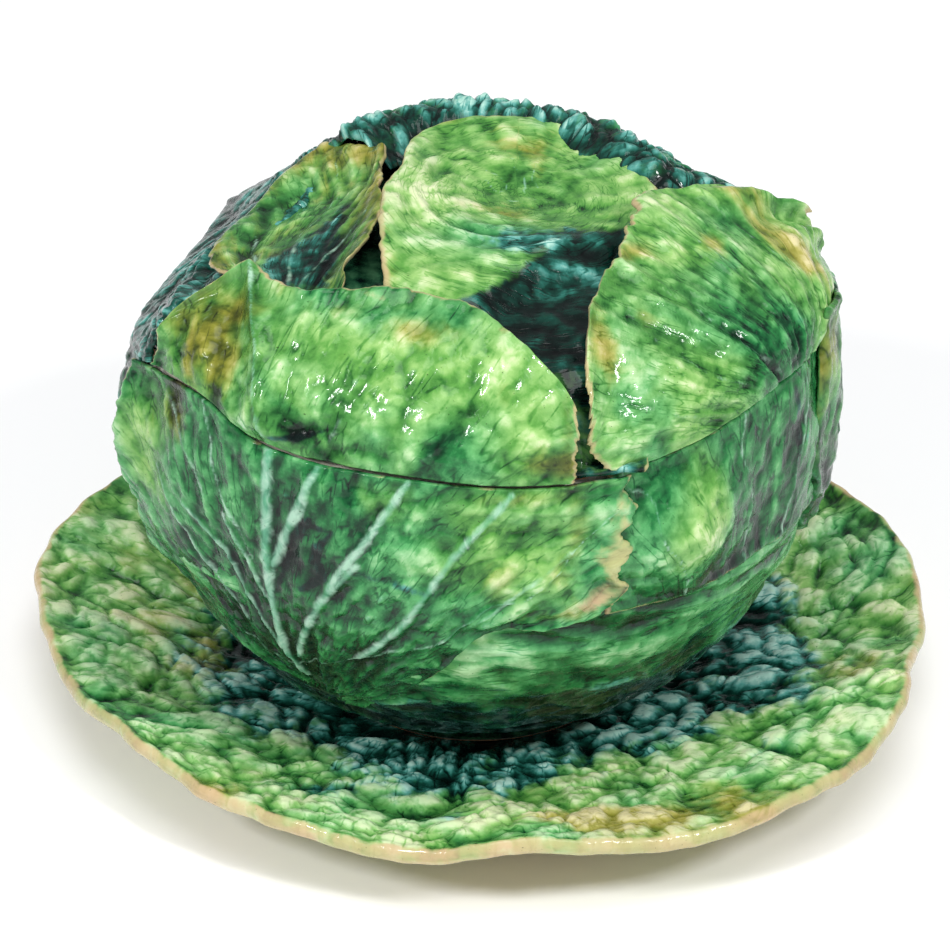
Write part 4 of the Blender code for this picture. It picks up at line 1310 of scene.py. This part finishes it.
def underplate(material):
    """The dish: a wavy brim over a foot ring, puckered and ribbed on top, teal where glaze pooled in its
    valleys, and dark teal round the bowl: teal glaze with painted shade.
    """
    brim_run = PLATE_RADIUS - WELL_RADIUS
    lip = PLATE_LIP_STEPS * MM
    well = np.linspace(0, WELL_RADIUS - 6 * MM, 16)
    dish = np.arange(WELL_RADIUS - 6 * MM, PLATE_RADIUS - 3 * MM, 1.2 * MM)[1:]
    top_r = np.concatenate([well, dish, PLATE_RADIUS - lip[::-1]])
    count = len(top_r)
    under_r = np.concatenate(
        [PLATE_RADIUS - lip[1:], np.linspace(PLATE_RADIUS - 4 * MM, PLATE_UNDER_INNER, 22)],
    )

    def dished(r):
        return WELL_FLOOR + (PLATE_RIM_TOP - WELL_FLOOR) * np.clip((r - WELL_RADIUS) / brim_run, 0, 1) ** 1.25

    foot_r = [
        PLATE_FOOT_OUTER + 2 * MM, PLATE_FOOT_OUTER, PLATE_FOOT_OUTER - MM, PLATE_FOOT_INNER + MM,
        PLATE_FOOT_INNER, PLATE_FOOT_INNER - MM, PLATE_FOOT_INNER - 40 * MM, 0.0,
    ]
    foot_z = [PLATE_FOOT_HEIGHT + MM, 0.8 * MM, 0.0, 0.0, 0.8 * MM] + 3 * [PLATE_FOOT_HEIGHT]
    radius = np.concatenate([top_r, under_r, foot_r])
    points = turned_points(
        radius, np.concatenate([dished(top_r), dished(under_r) - PLATE_THICKNESS, foot_z]), PLATE_STEPS,
    )
    top_side = np.zeros(len(radius))
    top_side[:count] = 1.0
    top_side[count:count + 5] = 0.6
    a = np.arctan2(points[..., 0], -points[..., 1])
    a[:, radius < 1e-9] = 0
    r = np.broadcast_to(radius[None], a.shape)
    around = np.degrees(a)
    reach = smooth((r - 0.085) / (PLATE_RADIUS - 0.085))
    ring = stack(np.sin(a) * PLATE_RADIUS, np.cos(a) * PLATE_RADIUS, 0 * a)
    scallop = turbulence(ring, 0.026, 161, 2, 0.5)
    grow = (
        1 + reach * (along(BRIM_OUTLINE, around) / PLATE_RADIUS - 1)
        + smooth((r - 0.14) / 0.04) * scallop * 0.010
    )
    points[..., 0] *= grow
    points[..., 1] *= grow
    flat = points.copy()
    flat[..., 2] = 0
    swirl = flat + 0.012 * stack(noise(flat, 0.05, 162), noise(flat, 0.05, 163), 0 * r)
    lobes = noise(ring * 0.6 + stack(0 * r, 0 * r, r * 0.3), 0.036, 164)
    lift = reach * MM * (1.8 * np.sin(6 * a + 1.0) + 1.2 * np.sin(11 * a) + 3.4 * lobes)
    even = stack(r * np.sin(a), r * np.cos(a), 0 * r)
    slanted = stack((a + 4.0 * r) * 0.15, r, 0 * r)
    slanted = slanted + 0.014 * stack(noise(even, 0.03, 177), noise(even, 0.03, 178), 0 * r)
    rib = ridges(slanted * [1, 0.45, 1], 0.024, 179)
    pillow = mounds(swirl, 0.0190, 165) - 0.45
    small = quilting(swirl, 0.0100, 166) - 0.5
    ripple = turbulence(flat, 0.0075, 167, 2)
    broad = noise(flat, 0.042, 168)
    edge = np.clip(PLATE_RADIUS - r, 0, 1)
    calm = smooth((r - 0.058) / 0.012) * (0.15 + 0.85 * smooth((edge - 1.5 * MM) / (8 * MM)))
    relief = MM * (2.8 * pillow + 1.3 * small + 0.4 * ripple + 2.2 * broad + 1.8 * rib) * calm
    bead = 1.5 * MM * bell(edge, 3.0 * MM, 2.4 * MM)
    points[..., 2] += lift + (relief + bead) * top_side[None]
    shift = PLATE_THICKNESS / 2 * (1 - rounding(edge, 2.4 * MM)) * (r > 0.17)
    points[..., 2] += np.where(top_side[None] >= 1, -shift, shift)
    # painted shade with teal glaze: a dark teal ring round the bowl, where the bowl shades the plate
    teal_and_shade_reach = along(TEAL_AND_SHADE_REACH, around)
    teal_and_shade_near_bowl = smooth((teal_and_shade_reach + 0.018 * broad + 0.008 * ripple + 0.006 * rib - 0.006 - r) / 0.040 + 0.4)
    x, y = flat[..., 0], flat[..., 1]
    stain = spots(
        x, y, (0.7, -0.062, -0.114, 0.022, 0.010), (0.8, -0.014, -0.137, 0.016, 0.008),
        (0.7, 0.128, -0.052, 0.020, 0.012), (0.5, 0.115, -0.085, 0.012, 0.016),
    )
    teal = 0.85 * teal_and_shade_near_bowl + 0.8 * stain + 0.35 * (0.3 - pillow) * smooth((0.165 - r) / 0.04)
    shade = 0.48 + 0.52 * pillow + 0.44 * small + 0.24 * ripple + 0.22 * broad + 0.26 * rib - 0.08 * teal_and_shade_near_bowl
    # painted shade: darker still close under the bowl
    shade = shade - 0.06 * smooth((0.092 - r) / 0.02)
    left = smooth((48 - np.abs(around + 100)) / 30) * smooth((0.165 - r) / 0.03)
    ochre = 0.35 * left + 0.3 * smooth((r - 0.168) / 0.012) + spots(
        x, y, (1.1, 0.056, -0.148, 0.034, 0.018), (0.6, 0.152, -0.030, 0.014, 0.018),
        (0.55, 0.100, -0.132, 0.030, 0.020), (0.3, -0.100, -0.128, 0.020, 0.012),
    )
    lime = 0.55 - 0.35 * teal_and_shade_near_bowl - 0.2 * stain
    rim = bell(edge, 0.6 * MM, 3.4 * MM)
    above, pale_side = top_side[None] > 0.5, top_side[None] < 1
    values = glaze_values(
        stack(np.sin(a) * 8, np.cos(a) * 8, r * 28), np.where(pale_side, 0.95, shade), 0.0,
        np.maximum(rim, 0.95 * pale_side), teal * ~pale_side, ochre * above, lime,
    )
    plate = turned_object("glazed_underplate", points, material, values)
    stand_for(plate, "underplate", "underplate")


# ---------------------------------------------------------------- thrown walls

WALL_STEPS = 360
SEAM_SIDE_GAP = 0.15 * MM
BARE_RIM = 1.0 * MM
BOWL_WALL_DEPTH = 0.158
BOWL_WALL_ROWS = 60
SHADE_FROM_ROW = 40
DOME_ROWS = 48
BOWL_FOOT_CLEAR = 0.3 * MM
# (radius, height above the foot's underside)
BOWL_FOOT = (
    (0.0600, 1.2 * MM), (0.0595, 0.0), (0.0525, 0.0), (0.0520, 1.0 * MM), (0.0500, 4.0 * MM),
    (0.0200, 4.0 * MM), (0.0, 4.0 * MM),
)
FLANGE_GAP = 1.5 * MM
FLANGE_THICKNESS = 3.6 * MM
FLANGE_DEPTH = 10.0 * MM
FLANGE_TOP_OUTSIDE = 8.8 * MM
FLANGE_TOP_INSIDE = 14.0 * MM


def bowl_wall(material):
    """The thrown bowl inside its leaves: cream within, bare clay at mouth and foot, and painted shade near
    the foot: dark there as under the bowl's overhang.
    """
    depths = np.linspace(0, BOWL_WALL_DEPTH, BOWL_WALL_ROWS)
    runs = -np.interp(depths, BOWL_S, BOWL_RUN)
    point, normal = on_form(0 * runs, np.minimum(runs, -1e-6))
    outer = point - normal * WALL_INSET
    inner = point - normal * (WALL_INSET + WALL_THICKNESS)
    profile = np.concatenate([inner[::-1], outer])
    mouth = SEAM_Z - SEAM_SIDE_GAP
    foot_z = WELL_FLOOR + BOWL_FOOT_CLEAR
    floor_z = profile[0, 2] - 0.5 * MM
    r = np.array([0.0, 0.03, *-profile[:, 1], *(radius for radius, _ in BOWL_FOOT)])
    z = np.array([floor_z, floor_z, *np.minimum(profile[:, 2], mouth), *(foot_z + up for _, up in BOWL_FOOT)])
    points = settle(turned_points(r, z, WALL_STEPS))
    at_mouth = (z > mouth - BARE_RIM) & (r > 0.12)
    bare = np.where(at_mouth, 1.0, 0.0) + np.where(z < foot_z + 0.3 * MM, 1.0, 0.0)
    # painted shade: the outside near the foot is dark, as the shade under the bowl's overhang
    dark = np.where((np.arange(len(r)) > len(inner) + SHADE_FROM_ROW) & (r > 0.0595), 1.0, 0.0)
    uneven = noise(points, 0.03, 181)[..., None] * points * np.array([1, 1, 0]) * 0.002
    wall = turned_object(
        "bowl_wall_glazed", points + uneven, material, {"bare": bare[None], "dark": dark[None]},
    )
    stand_for(wall, "bowl", "bowl_wall")


def dome_profile(inset):
    """Radii and heights of the dome's profile at this inset from the outer form."""
    angle = np.linspace(0, np.pi / 2, DOME_ROWS)
    power = 2 / DOME_SQUARENESS
    r = (SEAM_RADIUS - inset) * np.maximum(np.cos(angle), 0) ** power
    h = (DOME_RISE - inset + WALL_INSET) * np.sin(angle) ** power
    r[-1] = 0.0
    return r, SEAM_Z + SEAM_SIDE_GAP + h


def lid_walls(cream, clay):
    """The thrown dome behind the lid's leaves, and the bare locating flange inside the bowl's mouth."""
    out_r, out_z = dome_profile(WALL_INSET)
    in_r, in_z = dome_profile(WALL_INSET + WALL_THICKNESS)
    r = np.concatenate([in_r[::-1], out_r])
    z = np.concatenate([in_z[::-1], out_z])
    points = settle(turned_points(r, z, WALL_STEPS))
    bare = np.where((z < SEAM_Z + BARE_RIM) & (r > 0.12), 1.0, 0.0)
    # painted shade: the dome's outside is dark green, as the shade in the gaps between the leaves
    dark = np.where(np.arange(len(r)) < len(in_r), 0.0, 1.0)
    dome = turned_object("lid_dome_glazed", points, cream, {"bare": bare[None], "dark": dark[None]})
    stand_for(dome, "lid", "lid_dome")
    outside = SEAM_RADIUS - WALL_INSET - WALL_THICKNESS - FLANGE_GAP
    inside = outside - FLANGE_THICKNESS
    bottom = SEAM_Z - FLANGE_DEPTH
    top_outside = SEAM_Z + FLANGE_TOP_OUTSIDE
    loop = (
        (outside, top_outside), (outside, bottom + 1.5 * MM), (outside - 0.3 * MM, bottom + 0.6 * MM),
        (outside - 1.0 * MM, bottom), (inside + 0.8 * MM, bottom), (inside + 0.2 * MM, bottom + 0.5 * MM),
        (inside, bottom + 1.5 * MM), (inside, SEAM_Z + FLANGE_TOP_INSIDE), (outside, top_outside),
    )
    points = settle(turned_points(*zip(*loop), WALL_STEPS))
    ring = turned_object(
        "lid_flange_clay", points, clay, {"bare": np.array([[1.0]]), "dark": np.array([[0.0]])},
    )
    stand_for(ring, "lid", "lid_flange")


# ---------------------------------------------------------------- studio

CAMERA_TARGET = Vector((-0.0012, 0.0, 0.1005))
CAMERA_DISTANCE = 2.0
CAMERA_ELEVATION = 30.0
CAMERA_LENS = 187.8
FLOOR_SIZE = 6.0
FLOOR_COLOUR = (0.93, 0.93, 0.93, 1)
SKY_COLOUR = (0.95, 0.97, 1.0, 1)
SKY_STRENGTH = 0.38
SOFTBOX_SIZE = (0.24, 0.42)
SOFTBOXES = (  # name, place, power in watts
    ("softbox_left", (-1.2, -1.3, 1.5), 25), ("softbox_right", (1.1, -1.2, 1.6), 23),
)
LIT_PLACE = Vector((0, 0, 0.12))
OVERHEAD_STRENGTH = 1.35
OVERHEAD_ANGLE = 40
OVERHEAD_TILT = (12, 4, 0)


def studio():
    """A pale floor, a dim sky, two softboxes and a broad light from overhead, and the camera."""
    scene = bpy.context.scene

    def added(name, data):
        obj = bpy.data.objects.new(name, data)
        scene.collection.objects.link(obj)
        return obj

    def aimed(obj, place, target):
        obj.location = place
        obj.rotation_euler = (target - Vector(place)).to_track_quat("-Z", "Y").to_euler()

    floor_mesh = bpy.data.meshes.new("studio_floor")
    bm = bmesh.new()
    bmesh.ops.create_grid(bm, x_segments=1, y_segments=1, size=FLOOR_SIZE)
    bm.to_mesh(floor_mesh)
    bm.free()
    floor = added("studio_floor", floor_mesh)
    paper = bpy.data.materials.new("studio_paper")
    paper.use_nodes = True
    shader = paper.node_tree.nodes["Principled BSDF"]
    shader.inputs["Base Color"].default_value = FLOOR_COLOUR
    shader.inputs["Roughness"].default_value = 0.9
    floor.data.materials.append(paper)

    world = bpy.data.worlds.new("studio_world")
    world.use_nodes = True
    sky = world.node_tree.nodes["Background"]
    sky.inputs["Color"].default_value = SKY_COLOUR
    sky.inputs["Strength"].default_value = SKY_STRENGTH
    scene.world = world

    for name, place, power in SOFTBOXES:
        light = bpy.data.lights.new(name, "AREA")
        light.shape = "RECTANGLE"
        light.size, light.size_y = SOFTBOX_SIZE
        light.energy = power
        aimed(added(name, light), place, LIT_PLACE)
    overhead = bpy.data.lights.new("overhead", "SUN")
    overhead.energy = OVERHEAD_STRENGTH
    overhead.angle = math.radians(OVERHEAD_ANGLE)
    added("overhead", overhead).rotation_euler = [math.radians(turn) for turn in OVERHEAD_TILT]

    camera_data = bpy.data.cameras.new("camera")
    camera_data.sensor_width = 36.0
    camera_data.lens = CAMERA_LENS
    camera_data.clip_start = 0.05
    camera = added("camera", camera_data)
    tilt = math.radians(CAMERA_ELEVATION)
    aimed(
        camera, CAMERA_TARGET + CAMERA_DISTANCE * Vector((0, -math.cos(tilt), math.sin(tilt))),
        CAMERA_TARGET,
    )
    scene.camera = camera
    scene.view_settings.view_transform = "Standard"


def main():
    green = glaze("green_glaze")
    lime = glaze("lime_glaze")
    teal = glaze("teal_glaze")
    deep = glaze("deep_green_glaze")
    brim = glaze("plate_glaze", 0.02)
    cream = cream_glaze("cream_glaze")
    clay = cream_glaze("bare_clay")
    underplate(brim)
    bowl_wall(cream)
    base_whorl(deep)
    bowl_leaves(green, lime, teal)
    lid_walls(cream, clay)
    lid_leaves(green, lime, teal)
    crown(lime)
    left_heart(lime)
    studio()


main()
